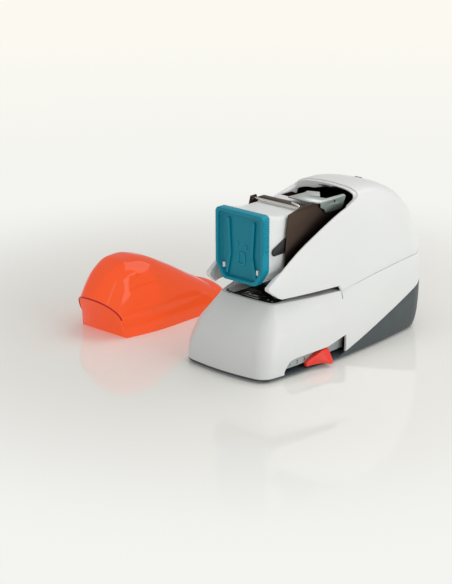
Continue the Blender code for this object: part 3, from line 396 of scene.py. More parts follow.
def loft(name, rings, closed_along=False):
    """Mesh through closed rings of points.  closed_along joins the last ring to the first; otherwise the two
    end rings are capped."""
    size = len(rings[0])
    points = [p for ring in rings for p in ring]
    faces = []
    for i in range(len(rings) if closed_along else len(rings) - 1):
        a, b = i * size, (i + 1) % len(rings) * size
        for j in range(size):
            k = (j + 1) % size
            faces.append((a + j, a + k, b + k, b + j))
    if not closed_along:
        faces.append(list(range(size))[::-1])
        faces.append([(len(rings) - 1) * size + j for j in range(size)])
    return mesh_of(name, points, faces)


def face_out(mesh):
    """Turn all faces of a closed mesh outwards."""
    bm = bmesh.new()
    bm.from_mesh(mesh)
    bmesh.ops.recalc_face_normals(bm, faces=bm.faces)
    bm.to_mesh(mesh)
    bm.free()
    return mesh


def block(name, low, high):
    """Box mesh between two corners of the stapler's frame."""
    mesh = bpy.data.meshes.new(name)
    bm = bmesh.new()
    bmesh.ops.create_cube(bm, size=1.0)
    size = Vector(high) - Vector(low)
    bmesh.ops.scale(bm, vec=size * MM, verts=bm.verts)
    bmesh.ops.translate(bm, vec=AT(*((Vector(low) + Vector(high)) / 2)), verts=bm.verts)
    bm.to_mesh(mesh)
    bm.free()
    return mesh


def round_edges(item, width, segments=3, angle=35.0, weld=False):
    """Bevel the sharp edges; weld first where the mesh comes with split edges."""
    if weld:
        welder = item.modifiers.new("weld", 'WELD')
        welder.merge_threshold = 0.00001
    bevel = item.modifiers.new("round_edges", 'BEVEL')
    bevel.width = width * MM
    bevel.segments = segments
    bevel.limit_method = 'ANGLE'
    bevel.angle_limit = radians(angle)
    bevel.harden_normals = True
    return item


def apply_cut(item, cutters):
    """Cut meshes out of an item's mesh for good."""
    for mesh in cutters:
        tool = bpy.data.objects.new(f"{item.name}_tool", mesh)
        bpy.context.scene.collection.objects.link(tool)
        boolean = item.modifiers.new("cut", 'BOOLEAN')
        boolean.object = tool
        bpy.context.view_layer.update()
        graph = bpy.context.evaluated_depsgraph_get()
        result = bpy.data.meshes.new_from_object(item.evaluated_get(graph))
        item.modifiers.clear()
        item.data = result
        bpy.data.objects.remove(tool, do_unlink=True)
    item.data.shade_smooth()
    item.data.set_sharp_from_angle(angle=CREASE)


def prism_mesh(name, outline, low, high, axis='X'):
    """Closed prism: outline in the two other axes' order, from low to high along the axis."""
    def point(a, b, c):
        return {'X': (c, a, b), 'Y': (a, c, b), 'Z': (a, b, c)}[axis]
    rings = [[point(a, b, c) for a, b in outline] for c in (low, high)]
    return face_out(loft(name, rings))


def wire(name, path, radius, look, body):
    """Round bar along an open path."""
    curve = bpy.data.curves.new(name, 'CURVE')
    curve.dimensions = '3D'
    curve.bevel_depth = radius * MM
    curve.bevel_resolution = 4
    curve.use_fill_caps = True
    spline = curve.splines.new('POLY')
    spline.points.add(len(path) - 1)
    for point, place in zip(spline.points, path):
        point.co = (*AT(*place), 1.0)
    return add_piece(name, curve, look, body)


def rounded(corners, count=5):
    """Closed outline through corners given as (u, v, radius), each replaced by an arc-like curve."""
    outline = []
    total = len(corners)
    for i, (u, v, radius) in enumerate(corners):
        here = Vector((u, v))
        before = Vector(corners[i - 1][:2]) - here
        after = Vector(corners[(i + 1) % total][:2]) - here
        reach = min(radius, before.length * 0.45, after.length * 0.45)
        start = here + before.normalized() * reach
        end = here + after.normalized() * reach
        for j in range(count):
            t = j / (count - 1)
            outline.append(tuple(start * (1 - t) ** 2 + here * 2 * t * (1 - t) + end * t * t))
    return outline


def rounded_box(x, z, width, height, radius):
    """Closed outline of a rounded rectangle about a middle point."""
    left, right, low, high = x - width / 2, x + width / 2, z - height / 2, z + height / 2
    corners = ((left, low), (right, low), (right, high), (left, high))
    return rounded([(*corner, radius) for corner in corners], 4)


# ---- body form -------------------------------------------------------------------------------------------
class Stations:
    """Monotone cubic interpolation through the rows of a station table."""

    def __init__(self, rows):
        self.z = [row[0] for row in rows]
        self.rows = [row[1:] for row in rows]
        last = len(rows) - 1
        secants = [[(b - a) / (self.z[i + 1] - self.z[i]) for a, b in zip(self.rows[i], self.rows[i + 1])]
                   for i in range(last)]
        self.slopes = [secants[0]]
        for i in range(1, last):
            self.slopes.append([2 * a * b / (a + b) if a * b > 0 else 0.0
                                for a, b in zip(secants[i - 1], secants[i])])
        self.slopes.append(secants[-1])

    def __call__(self, z):
        z = min(max(z, self.z[0]), self.z[-1])
        i = 0
        while i < len(self.z) - 2 and z > self.z[i + 1]:
            i += 1
        step = self.z[i + 1] - self.z[i]
        t = (z - self.z[i]) / step
        a, b = (1 + 2 * t) * (1 - t) ** 2, t * (1 - t) ** 2 * step
        c, d = t * t * (3 - 2 * t), t * t * (t - 1) * step
        return [a * p + b * m + c * q + d * n for p, m, q, n in
                zip(self.rows[i], self.slopes[i], self.rows[i + 1], self.slopes[i + 1])]


LOWER = Stations(LOWER_STATIONS)
UPPER = Stations(UPPER_STATIONS)
CROWN = Stations(COVER_CROWN)


def side_width(y, widths):
    a, b, c = SIDE_YS
    return (widths[0] * (y - b) * (y - c) / ((a - b) * (a - c))
            + widths[1] * (y - a) * (y - c) / ((b - a) * (b - c))
            + widths[2] * (y - a) * (y - b) / ((c - a) * (c - b)))


def rear_point(s, rear_y, radius, widths):
    shift = radius * sin(REAR_SWEEP)
    side_y = rear_y - shift
    for _ in range(3):
        centre_x = side_width(side_y, widths) - radius
        edge_x = centre_x + radius * cos(REAR_SWEEP)
        bow = edge_x * tan(pi / 2 - REAR_SWEEP) / 2
        side_y = rear_y - bow - shift
    if s < 0.35:
        x = edge_x * s / 0.35
        return x, rear_y - bow * (x / edge_x) ** 2, side_y
    angle = REAR_SWEEP * (1 - s) / 0.65
    return centre_x + radius * cos(angle), side_y + radius * sin(angle), side_y


def nose_corner(nose_y, radius, widths):
    bow = 6.0 / 59.0 ** 2
    edge_x = 40.0
    join_y = nose_y + radius
    for _ in range(6):
        slope = (side_width(join_y + 1, widths) - side_width(join_y - 1, widths)) / 2
        end = atan2(1, slope)
        start = atan2(2 * bow * edge_x, 1)
        centre_y = nose_y + bow * edge_x ** 2 + radius * cos(start)
        join_y = centre_y - radius * cos(end)
        centre_x = side_width(join_y, widths) - radius * sin(end)
        edge_x = centre_x + radius * sin(start)
    return centre_x, centre_y, start, end, edge_x, join_y


def lower_point(u, z, inset=0.0):
    row = LOWER(z)
    nose_y, radius, rear_y, rear_radius = row[0] + inset, row[4], row[5] - inset, row[6]
    widths = [w - inset for w in row[1:4]]
    s = abs(u)
    side_y = rear_point(1.0, rear_y, rear_radius, widths)[2]
    if s <= REAR_SHARE:
        x, y, _ = rear_point(s / REAR_SHARE, rear_y, rear_radius, widths)
    else:
        centre_x, centre_y, start, end, edge_x, join_y = nose_corner(nose_y, radius, widths)
        if s <= SIDE_SHARE:
            y = side_y + (join_y - side_y) * (s - REAR_SHARE) / (SIDE_SHARE - REAR_SHARE)
            x = side_width(y, widths)
        elif s <= CORNER_SHARE:
            angle = end + (start - end) * (s - SIDE_SHARE) / (CORNER_SHARE - SIDE_SHARE)
            x, y = centre_x + radius * sin(angle), centre_y - radius * cos(angle)
        else:
            x = edge_x * (1 - (s - CORNER_SHARE) / (1 - CORNER_SHARE))
            y = nose_y + 6.0 / 59.0 ** 2 * x * x
    return (x if u >= 0 else -x), y, z


def upper_point(u, z, inset=0.0):
    share = min(max((z - 110.0) / 60.0, 0.0), 1.0)
    row = UPPER(min(z + inset * share * share * (3 - 2 * share), BODY_TOP))
    front_y, rear_y, rear_radius = row[0], row[4] - inset, row[5]
    widths = [max(w - inset, 0.5) for w in row[1:4]]
    s = abs(u)
    if s <= REAR_SHARE:
        x, y, _ = rear_point(s / REAR_SHARE, rear_y, rear_radius, widths)
    else:
        side_y = rear_point(1.0, rear_y, rear_radius, widths)[2]
        y = side_y + (front_y - side_y) * (s - REAR_SHARE) / (1 - REAR_SHARE)
        x = side_width(y, widths)
    return (x if u >= 0 else -x), y, z


def opening_edge(y):
    """Height of the cover opening's edge: a bowed rise, a flatter run, then a steep turn over the dome."""
    run = min(y, NOTCH_Y) - RIM_START[0]
    height = RIM_START[1] + 0.638 * run - 8.7e-6 * run ** 3
    if y > NOTCH_Y:
        height += 0.28 * (y - NOTCH_Y) + 10.0 * exp((y - BROW_Y) / 2.0)
    return height


def seam(y):
    back = max(y + 15.0, 0.0)
    return NOSE_TOP + 0.175 * back - 0.00055 * back * back


def panel_edge(y):
    return max(4.6, 9.0 + (y + 14.0) / 3.0)


def cheek_bottom(y):
    heel_y, heel_z = CHEEK_HEEL
    if y < heel_y:
        return heel_z + (heel_y - y) * 0.76
    if y < SLOT_REAR - 2:
        return 84.4 + (SLOT_REAR - y) * 0.02
    if y < SLOT_REAR:
        return seam(SLOT_REAR) + SEAM_GAP + (84.4 - seam(SLOT_REAR)) * (SLOT_REAR - y) / 2
    return seam(y) + SEAM_GAP


def settle(form, u, height, inset=0.0, start=80.0):
    z = start
    for _ in range(12):
        z = height(form(u, z, inset)[1])
    return z


def rim_height(u, drop, inset=0.0):
    low, high = 80.0, BODY_TOP
    for _ in range(26):
        z = (low + high) / 2
        if z - opening_edge(upper_point(u, z, inset)[1]) + drop < 0:
            low = z
        else:
            high = z
    return low


def shares(parts):
    half = [0.0]
    for limit, count in parts:
        start = half[-1]
        half += [start + (limit - start) * (i + 1) / count for i in range(count)]
    return [-v for v in half[:0:-1]] + half


LOWER_COLUMNS = shares([(0.35 * REAR_SHARE, 10), (REAR_SHARE, 18), (SIDE_SHARE, 60), (CORNER_SHARE, 16),
                        (1.0, 14)])[1:]
UPPER_COLUMNS = shares([(0.35 * REAR_SHARE, 12), (REAR_SHARE, 24), (1.0, 66)])


def spaced(low, high, count):
    return [low + (high - low) * i / count for i in range(count + 1)]


# ---- housing ---------------------------------------------------------------------------------------------
def wall_ring(form, u, low, high, wall, rows, lip=0.6):
    """Cross-section of a wall with rounded lips, as one closed ring of points."""
    ring = [form(u, low + lip * 0.02, lip), form(u, low + lip * 0.3, lip * 0.3)]
    ring += [form(u, z, 0.0) for z in spaced(low + lip, high - lip, rows)]
    ring += [form(u, high - lip * 0.3, lip * 0.3), form(u, high, lip)]
    ring += [form(u, high, wall - 0.3), form(u, high - 0.3, wall)]
    ring += [form(u, z, wall) for z in spaced(high - 1.0, low + 1.0, rows // 2)]
    ring += [form(u, low + 0.3, wall), form(u, low, wall - 0.3)]
    return ring


# Windows for the mains inlet and the power switch: middle as x and z, half width, half height.
REAR_WINDOWS = (("inlet_hole", (26.0, 26.0), 12.4, 10.4), ("switch_hole", (-26.0, 26.0), 10.4, 7.4))


def base_pan():
    rings = []
    for u in LOWER_COLUMNS:
        high = settle(lower_point, u, panel_edge, start=10.0)
        ring = wall_ring(lower_point, u, FLOOR_Z, high, WALL, 10, 0.7)
        rings.append(ring)
    walls = face_out(loft("base_skirt", rings, closed_along=True))
    skirt = add_piece("base_skirt", walls, "slate_plastic", "base", replaces=("base_pan",))
    apply_cut(skirt, [block(name, (x - half_x, 120, z - half_z), (x + half_x, 160, z + half_z))
                      for name, (x, z), half_x, half_z in REAR_WINDOWS])
    outline = [lower_point(u, FLOOR_Z + 1.0, WALL - 0.4)[:2] for u in LOWER_COLUMNS]
    floor = prism_mesh("base_floor", outline, FLOOR_Z + 0.1, FLOOR_Z + 2.3, 'Z')
    add_piece("base_floor", floor, "slate_plastic", "base")


def lower_housing():
    rings = []
    for u in LOWER_COLUMNS:
        low = settle(lower_point, u, lambda y: panel_edge(y) + GAP, start=10.0)
        high = settle(lower_point, u, seam)
        rings.append(wall_ring(lower_point, u, low, high, WALL, 26))
    mesh = face_out(loft("lower_shell", rings, closed_along=True))
    shell = add_piece("lower_shell", mesh, "white_plastic", "base", replaces=("lower_housing",))
    groove = rounded([(-17.0, 68.6, 0.7), (-15.5, 68.6, 0.7), (-15.5, 82, 0.1), (-17.0, 82, 0.1)])
    apply_cut(shell, [prism_mesh("recess", RECESS, 50, 90), prism_mesh("groove", groove, 62.4, 75)])
    return shell


LEDGE_WIDTH = 5.6                   # ledge round the rear of the opening
TIP_SHARE = 0.93                    # outside this share of the columns the cheek tips grow thicker


def upper_ring(u):
    """Cross-section of the upper wall: outer face, rounded edge, small rebate, inner face."""
    low = settle(upper_point, u, cheek_bottom)
    high = rim_height(u, 0.0)
    lip = 0.5
    wall = WALL + 3.4 * min(max((abs(u) - TIP_SHARE) / (1 - TIP_SHARE), 0.0) * 2.0, 1.0)
    crowd = 1 + 1.3 * min(max((high - 150) / 30, 0), 1)
    top = high - lip * 0.7
    ring = [upper_point(u, low, lip), upper_point(u, low + lip * 0.3, lip * 0.3)]
    rows = 26
    rises = [1 - (1 - j / rows) ** crowd for j in range(rows)]
    ring += [upper_point(u, low + lip + (top - low - lip) * rise) for rise in rises]
    ring.append(upper_point(u, rim_height(u, lip * 0.3, lip * 0.12), lip * 0.12))
    for inset, drop in ((0.45, 0.0), (1.0, 0.02), (wall - 1.0, 0.2), (wall - 0.5, 0.5), (wall, 1.2)):
        ring.append(upper_point(u, rim_height(u, drop, inset), inset))
    inner_top = rim_height(u, 3.0, wall)
    ring += [upper_point(u, z, wall) for z in spaced(inner_top, low + 1.0, 14)]
    ring += [upper_point(u, low + 0.3, wall), upper_point(u, low, wall - 0.3)]
    return ring


def upper_housing():
    mesh = face_out(loft("upper_shell", [upper_ring(u) for u in UPPER_COLUMNS]))
    shell = add_piece("upper_shell", mesh, "white_plastic", "base", replaces=("upper_housing",))
    apply_cut(shell, [block("lens_hole", (-5.2, 88.2, 165), (5.2, 91.8, 190))])
    return shell


def ledge():
    """Light ledge and collar inside the rear of the opening, from one notch round to the other."""
    edge = [Vector(upper_point(u, rim_height(u, 0.0))) for u in UPPER_COLUMNS]
    rings = []
    for before, here, after in zip(edge, edge[1:], edge[2:]):
        if here.y < NOTCH_Y:
            continue
        along = after - before
        inward = Vector((along.y, -along.x, 0.0)).normalized()
        width = min(2.6 + (here.y - NOTCH_Y) * 0.35, LEDGE_WIDTH)
        depth = 2.6 + 6.5 * min(max((14.0 - here.x) / 30.0, 0.0), 1.0)
        profile = ((0.8, -1.9), (1.3, -1.2), (width - 0.6, -1.25), (width - 0.1, -1.6), (width, -2.2),
                   (width, -depth), (width - 1.4, -depth - 0.3), (0.9, -3.4))
        rings.append([tuple(here + inward * a + Vector((0.0, 0.0, b))) for a, b in profile])
    mesh = face_out(loft("opening_ledge", rings))
    add_piece("opening_ledge", mesh, "white_plastic", "base")


def liner():
    """Black liner inside the upper housing, set back from the opening; low on the left side."""
    inset, wall = WALL + 1.0, 1.2
    rings = []
    for u in [v for v in UPPER_COLUMNS if abs(v) < 0.97]:
        side = upper_point(u, rim_height(u, 9.0, inset), inset)[0]
        high = rim_height(u, 9.0 + 24.0 * min(max((-22.0 - side) / 15.0, 0.0), 1.0), inset)
        if high - 88.0 < 4:
            continue
        outer = [upper_point(u, z, inset) for z in spaced(88.0, high - 0.3, 18)]
        inner = [upper_point(u, z, inset + wall) for z in spaced(high - 0.3, 88.0, 18)]
        rings.append(outer + [upper_point(u, high, inset + 0.4)] + inner)
    mesh = face_out(loft("opening_liner", rings))
    add_piece("opening_liner", mesh, "black_plastic", "base", replaces=("inner_frame",))


def throat_details():
    """Light guide strip on the left of the table, two rivets near the right corner, a pin at the left."""
    strip = [(-36.5, -92, 1), (-31, -98.5, 1), (-22, -99.5, 1), (-20, -72, 1), (-20, -20, 1), (-36.5, -20, 1)]
    item = add_piece("guide_strip", prism_mesh("guide_strip", rounded(strip, 4), 77.5, 78.2, 'Z'),
                     "grey_plastic", "base")
    round_edges(item, 0.2, 2)
    for i, (x, y) in enumerate(((23.8, -95.0), (30.4, -96.4))):
        rivet("table_rivet", i + 1, x, y, 77.8, 1.0, "bright_steel")
    rivet("nose_pin", 1, -25.0, -104.6, 77.9, 0.8, "black_plastic")


def rivet(name, number, x, y, z, radius, look):
    outline = ((radius, 0.0), (radius, 0.3), (radius * 0.75, 0.6), (radius * 0.3, 0.72))
    rings = [[(x + r * cos(2 * pi * i / 20), y + r * sin(2 * pi * i / 20), z + h) for i in range(20)]
             for r, h in outline]
    add_piece(f"{name}_{number}", face_out(loft(name, rings)), look, "base")


# ---- cassette --------------------------------------------------------------------------------------------
def cap_outline(inset, low_cut=17.0, side_cut=11.0, radius=3.5):
    half, low, high = CASSETTE_HALF - inset, CASSETTE_LOW + inset, CASSETTE_HIGH - inset
    side_cut -= inset * 0.4
    low_cut -= inset * 0.6
    return rounded([(-half + side_cut, low, radius), (half - side_cut, low, radius),
                    (half, low + low_cut, radius), (half, high, radius + 1.5),
                    (-half, high, radius + 1.5), (-half, low + low_cut, radius)], 7)


def cassette_cap():
    steps = ((0.5, CAP_DEPTH), (0.0, CAP_DEPTH - 0.5), (0.0, 1.2), (0.35, 0.35), (1.2, 0.0), (3.2, 0.1),
             (3.9, 0.5), (4.6, 4.2), (5.4, 5.0), (6.4, 5.1))
    rings = [[(x, CASSETTE_FRONT + depth, z) for x, z in cap_outline(inset)] for inset, depth in steps]
    mesh = face_out(loft("cassette_cap", rings))
    add_piece("cassette_cap", mesh, "teal_plastic", "cassette", replaces=("cassette_front",))


def cap_ribs():
    """Grip ribs down both side edges of the cap."""
    for side, name in ((-1, "left"), (1, "right")):
        bm = bmesh.new()
        for i in range(15):
            z = 137.0 + 2.6 * i
            rib = bmesh.ops.create_cube(bm, size=1.0)["verts"]
            bmesh.ops.scale(bm, vec=Vector((1.6, 9.0, 1.3)) * MM, verts=rib)
            middle = AT(side * (CASSETTE_HALF + 0.15), CASSETTE_FRONT + 5.4, z)
            bmesh.ops.translate(bm, vec=middle, verts=rib)
        mesh = bpy.data.meshes.new(f"cap_ribs_{name}")
        bm.to_mesh(mesh)
        bm.free()
        ribs = add_piece(f"cap_ribs_{name}", mesh, "teal_plastic", "cassette")
        round_edges(ribs, 0.45, 2)


def cap_details():
    """Inner panel with two converging ribs, two clear latch windows and a small grip."""
    floor_y = CASSETTE_FRONT + 5.0
    for side, name in ((-1, "left"), (1, "right")):
        rib = [(side * 20.0, 168.0), (side * 16.5, 168.0), (side * 14.0, 128.0), (side * 18.5, 104.5),
               (side * 22.5, 104.5), (side * 17.6, 129.0)]
        mesh = prism_mesh(f"cap_rib_{name}", rounded([(u, v, 1.5) for u, v in rib], 4), floor_y - 2.2,
                          floor_y + 0.3, 'Y')
        round_edges(add_piece(f"cap_rib_{name}", mesh, "teal_plastic", "cassette"), 0.6, 3)
        clip = prism_mesh(f"latch_window_{name}", rounded_box(side * 24.2, 113.2, 3.2, 5.6, 0.8),
                          floor_y - 2.6, floor_y + 0.2, 'Y')
        round_edges(add_piece(f"latch_window_{name}", clip, "milky_plastic", "cassette"), 0.4, 2)
    bars = ((-6.0, 140.0, 1.6, 5.0), (6.0, 138.0, 1.6, 5.0), (0.0, 131.0, 9.0, 1.3),
            (-4.6, 124.0, 1.3, 11.0), (4.6, 124.0, 1.3, 11.0), (0.0, 118.0, 9.0, 1.3))
    for i, (x, z, width, height) in enumerate(bars):
        bar = prism_mesh(f"cap_relief_{i + 1}", rounded_box(x, z, width, height, 0.5), floor_y - 0.9,
                         floor_y + 0.2, 'Y')
        round_edges(add_piece(f"cap_relief_{i + 1}", bar, "teal_plastic", "cassette"), 0.3, 2)


def cassette_case():
    """Milky case behind the cap: rounded long edges, its top falling towards the rear."""
    front = CASSETTE_FRONT + CAP_DEPTH + GAP
    rear = -14.0
    half = CASSETTE_HALF - 2.0
    rings = []
    for y, inset in [(front, 0.8), (front + 0.3, 0.25), (front + 1.0, 0.0)] + \
            [(y, 0.0) for y in spaced(front + 4, rear - 1.2, 24)] + [(rear - 0.3, 0.3), (rear, 1.0)]:
        fall = min(max((y - front) / (-78.0 - front), 0.0), 1.0)
        top = CASSETTE_HIGH - 1.5 + (CASE_REAR_TOP - CASSETTE_HIGH + 1.5) * (fall * fall * (3 - 2 * fall))
        low = CASSETTE_LOW + 1 + inset
        w = half - inset
        outline = rounded([(-w + 9, low, 3), (w - 9, low, 3), (w, low + 14, 3), (w, top - inset, 5.5),
                           (-w, top - inset, 5.5), (-w, low + 14, 3)], 7)
        rings.append([(x, y, z) for x, z in outline])
    mesh = face_out(loft("cassette_shell", rings))
    add_piece("cassette_shell", mesh, "milky_plastic", "cassette", replaces=("cassette_case",))


# ---- cover -----------------------------------------------------------------------------------------------
def cover_width(y):
    if y < -60:
        return COVER_HALF_WIDTH - 10.0 * ((-60 - y) / (-60 - COVER_FRONT)) ** 2
    return COVER_HALF_WIDTH


def cover_column(q, rows):
    """Column from the rim to the crown; q runs 0..1 along a side, then 1..2 round the rear."""
    if q <= 1:
        rim_y = COVER_FRONT + (COVER_FAN - COVER_FRONT) * q
        spine_y = COVER_NOSE + (COVER_FAN - COVER_NOSE) * q
        rim_x, lift, power = cover_width(rim_y), 0.2, 2.7
    else:
        angle = (q - 1) * pi / 2
        rim_x = COVER_HALF_WIDTH * max(cos(angle), 0.0) ** (2 / 2.3)
        rim_y = COVER_FAN + (COVER_REAR - COVER_FAN) * sin(angle) ** (2 / 2.3)
        spine_y = COVER_FAN
        lift = 0.2 + 1.9 * (q - 1)
        power = 2.7 - 1.45 * (q - 1)
    crown = CROWN(spine_y)[0]
    column = []
    for j in range(rows + 1):
        angle = pi / 2 * (1 - j / rows)
        reach = sin(angle) ** (2 / power)
        rise = (1 - reach ** power) ** (1 / power) if j else 0.0
        shoulder = 1.3 * exp(-((rise * crown - 21.0) / 5.0) ** 2) if q <= 1 else 0.0
        x = (rim_x - shoulder) * reach
        z = lift + (crown - lift) * rise
        along = rise ** 2.4 if q <= 1 else 1 - reach
        column.append((x, rim_y + (spine_y - rim_y) * along, z))
    return column


RIM_STEP = 20.0                     # height of the step in the cover's front rim


def cover():
    """Hood open underneath; a front panel runs from the arch down to the two front feet."""
    rows = 36
    steps = [i / 60 for i in range(61)] + [1 + i / 24 for i in range(1, 25)]
    right = [cover_column(q, rows) for q in steps]
    left = [[(-x, y, z) for x, y, z in column] for column in right]
    columns = left[:-1] + right[::-1]
    points, faces, index = [], [], {}

    def add_face(corners):
        loop = []
        for p in corners:
            key = tuple(round(v, 3) for v in p)
            if key not in index:
                index[key] = len(points)
                points.append((p[0] + COVER_CENTRE_X, p[1], p[2]))
            if index[key] not in loop:
                loop.append(index[key])
        if len(loop) > 2:
            faces.append(loop)

    for a, b in zip(columns, columns[1:]):
        for j in range(rows):
            add_face((a[j], a[j + 1], b[j + 1], b[j]))
    arch = left[0] + right[0][-2::-1]
    for a, b in zip(arch, arch[1:]):
        add_face((a, (a[0], COVER_FRONT, 0.2), (b[0], COVER_FRONT, 0.2), b))
    mesh = mesh_of("cover_shell", points, faces)
    item = add_piece("cover_shell", mesh, "cover_plastic", "cover", replaces=("cover",))
    solid = item.modifiers.new("wall", 'SOLIDIFY')
    solid.thickness = COVER_WALL * MM
    solid.offset = -1
    solid.use_even_offset = True
    round_edges(item, 0.5, 2, 60)
    cover_rim(arch)


def cover_rim(arch):
    """Thick deep-coloured edge along the front arch, stepped inwards at both lower ends."""
    upper = [(x + COVER_CENTRE_X, y - 0.3, z) for x, y, z in arch if z > RIM_STEP + 1.5]
    wire("cover_rim", upper, 1.0, "cover_edge", "cover")
    for name, side in (("left", -1), ("right", 1)):
        half = [(x * 0.965 + COVER_CENTRE_X, y + 0.6, z) for x, y, z in arch
                if side * x > 0 and 1.3 < z < RIM_STEP]
        wire(f"cover_rim_{name}", half, 1.1, "cover_edge", "cover")


# ---- carried-over nodes ----------------------------------------------------------------------------------
BEVELS = {"scale_insert": 0.2, "paper_deck": 0.4, "paper_table": 0.3, "anvil": 0.3, "paper_stop": 0.5,
          "paper_sensor": 0.3, "depth_knob": 0.9, "depth_carriage": 0.3, "head_plate_left": 0.35,
          "head_plate_right": 0.35, "head_floor": 0.3, "head_nose": 0.4, "head_top_plate": 0.35,
          "head_tab": 0.35, "head_bridge": 0.3, "head_rod": 0.4, "hammer_arm": 0.5,
          "cassette_latch": 0.4, "power_inlet": 0.6, "switch_frame": 0.5, "switch_rocker": 0.5,
          "chassis_left": 0.3, "chassis_right": 0.3, "chassis_floor": 0.3, "motor": 0.4, "roll_spindle": 0.4,
          "staple_roll": 0.3, "foot_front_left": 0.3, "foot_front_right": 0.3, "foot_rear_left": 0.3,
          "foot_rear_right": 0.3, "status_lens": 0.25, "sensor_switch": 0.4, "circuit_board": 0.15,
          "crank_left": 0.4, "crank_right": 0.4, "cam_gear": 0.12, "idler_gear": 0.12, "idler_pinion": 0.12,
          "motor_pinion": 0.12, "cam_shaft": 0.4, "head_shaft": 0.4, "idler_axle": 0.3, "link_left": 0.3,
          "link_right": 0.3, "link_pin": 0.3}
# paper_deck wears the white plastic, lighter than the grey it was designed with: partly its lighter look, partly
# painted light for the deck lying in the shade of the cheek
NODE_LOOKS = {"paper_table": "ribbed_steel", "staple_roll": "staples", "staple_strip": "staples",
              "head_tab": "dull_zinc", "paper_deck": "white_plastic"}


def dress_nodes():
    """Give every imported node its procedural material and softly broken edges."""
    slots = {part["node"]: part["material_slot"] for part in frame["record"]["subparts"]}
    for name, item in NODES.items():
        look = NODE_LOOKS.get(name, slots[name])
        item.data.materials.clear()
        item.data.materials.append(LOOKS[look])
        item.data.shade_smooth()
        item.data.set_sharp_from_angle(angle=radians(30))
        if name in BEVELS:
            round_edges(item, BEVELS[name], 2, 35, weld=True)


# ---- small details ---------------------------------------------------------------------------------------
def numerals():
    """Numbers on the scale strip."""
    face = SCALE_FACE + 0.15
    for text, y in (("1", -103.0), ("2", -91.0), ("3", -79.0), ("4", -56.0), ("5", -44.0)):
        curve = bpy.data.curves.new(f"scale_number_{text}", 'FONT')
        curve.body = text
        curve.size = 6.2 * MM
        curve.extrude = 0.06 * MM
        curve.align_x = 'CENTER'
        curve.align_y = 'CENTER'
        item = bpy.data.objects.new(f"scale_number_{text}", curve)
        bpy.context.scene.collection.objects.link(item)
        item.rotation_euler = (pi / 2, 0, pi / 2)
        item.location = AT(face, y, 14.6)
        item.data.materials.append(LOOKS["ink"])
        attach(item, "base")


def rod_hook():
    """Bent end of the rod across the head."""
    y, z = -52.8, 173.9
    path = [(27.5, y, z), (29.4, y, z + 0.1), (30.5, y, z + 0.9), (30.4, y + 0.2, z + 2.1),
            (28.8, y + 0.5, z + 2.9), (19.5, y + 1.5, z + 4.3)]
    wire("rod_hook", path, 1.15, "bright_steel", "head")


SPRING_LOW, SPRING_HIGH = 8.4, 91.6


def return_spring():
    """Coil under the head floor, with closed ends."""
    turns, radius, wire_radius, flat, steps = 10, 5.0, 0.7, 0.8, 24
    rings = []
    for i in range(turns * steps + 1):
        angle = 2 * pi * i / steps
        rise = min(max((i / steps - flat) / (turns - 2 * flat), 0.0), 1.0)
        outwards = Vector((cos(angle), sin(angle), 0.0))
        centre = outwards * radius + Vector((0.0, 4.0, SPRING_LOW + (SPRING_HIGH - SPRING_LOW) * rise))
        rings.append([tuple(centre + (outwards * cos(turn) + Vector((0.0, 0.0, sin(turn)))) * wire_radius)
                      for turn in (2 * pi * k / 10 for k in range(10))])
    mesh = face_out(loft("return_spring", rings))
    spring = add_piece("return_spring", mesh, "spring_steel", "base", replaces=("head_spring",))
    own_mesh(spring)


def build():
    dress_nodes()
    base_pan()
    lower_housing()
    upper_housing()
    ledge()
    liner()
    throat_details()
    cassette_cap()
    cap_ribs()
    cap_details()
    cassette_case()
    cover()
    numerals()
    rod_hook()
    return_spring()


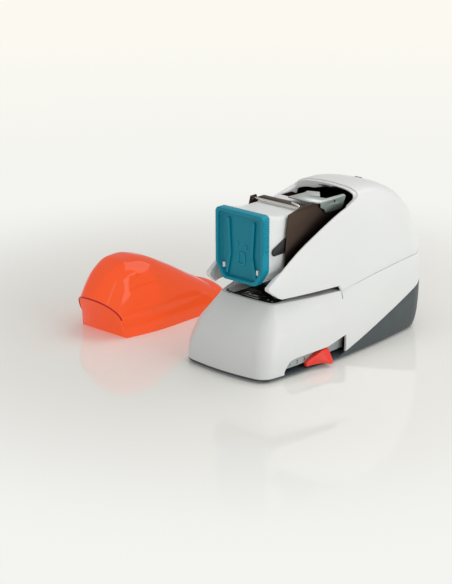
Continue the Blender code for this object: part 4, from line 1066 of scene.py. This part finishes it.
# ---- stage, lights and camera ----------------------------------------------------------------------------
def floor():
    """Pale satin table top that fades into a bright, slightly warm background."""
    shader = Shader("table_top")
    base = shader.blend(shader.spread(shader.noise(1.2, 2.0), 0, 1), (0.80, 0.80, 0.775), (0.83, 0.83, 0.805))
    shader.set(Base_Color=base, Roughness=shader.spread(shader.noise(30.0), 0.06, 0.09),
               Emission_Color=(1.0, 0.99, 0.96, 1.0), Emission_Strength=0.08)
    shader.bump(shader.noise(14.0, 2.0), 0.03, 0.0004)
    distance = shader.node("ShaderNodeVectorMath")
    distance.operation = 'LENGTH'
    shader.feed(distance.inputs[0], shader.coordinates)
    fades = []
    for near, far in ((0.22, 0.62), (0.4, 2.2)):
        fade = shader.node("ShaderNodeMapRange", Value=distance.outputs["Value"])
        fade.interpolation_type = 'SMOOTHSTEP'
        fade.inputs["From Min"].default_value = near
        fade.inputs["From Max"].default_value = far
        fades.append(fade.outputs["Result"])
    haze = shader.blend(fades[1], (0.90, 0.90, 0.87), (0.975, 0.955, 0.875))
    whole = shader.mixed(fades[0], shader.surface, shader.node("ShaderNodeEmission", Color=haze))
    shader.tree.links.new(whole.outputs[0], shader.output.inputs["Surface"])
    mesh = bpy.data.meshes.new("table_top")
    bm = bmesh.new()
    bmesh.ops.create_circle(bm, cap_ends=True, radius=9.0, segments=96)
    bm.to_mesh(mesh)
    bm.free()
    table = bpy.data.objects.new("table_top", mesh)
    table.data.materials.append(shader.material)
    bpy.context.scene.collection.objects.link(table)


def soft_light(name, place, target, size, power, colour=(1.0, 1.0, 1.0)):
    data = bpy.data.lights.new(name, 'AREA')
    data.shape = 'RECTANGLE'
    data.size, data.size_y = size
    data.energy = power
    data.color = colour
    item = bpy.data.objects.new(name, data)
    item.location = place
    item.rotation_euler = (Vector(target) - Vector(place)).to_track_quat('-Z', 'Y').to_euler()
    bpy.context.scene.collection.objects.link(item)


def lights():
    middle = (0.05, 0.0, 0.08)
    soft_light("overhead", (0.35, 0.6, 1.4), middle, (1.4, 1.4), 8.5, (1.0, 0.985, 0.955))
    soft_light("right_panel", (1.5, 0.1, 0.75), middle, (1.0, 1.2), 7.0, (1.0, 0.99, 0.97))
    soft_light("corner_strip", (1.0, -1.3, 0.9), middle, (0.25, 1.2), 0.8)
    world = bpy.data.worlds.new("studio")
    world.use_nodes = True
    background = world.node_tree.nodes["Background"]
    background.inputs["Color"].default_value = (1.0, 0.985, 0.95, 1.0)
    background.inputs["Strength"].default_value = 0.50
    bpy.context.scene.world = world
    bpy.context.scene.view_settings.view_transform = 'Standard'


CAMERA_AZIMUTH = radians(42.0)
CAMERA_ELEVATION = radians(18.5)
CAMERA_DISTANCE = 2.0966
CAMERA_TARGET = (-80.1, -48.6, 52.3)        # in the stapler's frame
CAMERA_LENS = 112.44


def camera():
    data = bpy.data.cameras.new("camera")
    data.lens = CAMERA_LENS
    data.sensor_width = 36.0
    data.clip_start, data.clip_end = 0.05, 60.0
    item = bpy.data.objects.new("camera", data)
    flat = cos(CAMERA_ELEVATION)
    back = Vector((sin(CAMERA_AZIMUTH) * flat, -cos(CAMERA_AZIMUTH) * flat, sin(CAMERA_ELEVATION)))
    item.location = AT(*CAMERA_TARGET) + back * CAMERA_DISTANCE
    item.rotation_euler = (-back).to_track_quat('-Z', 'Y').to_euler()
    bpy.context.scene.collection.objects.link(item)
    bpy.context.scene.camera = item


build()
floor()
lights()
camera()
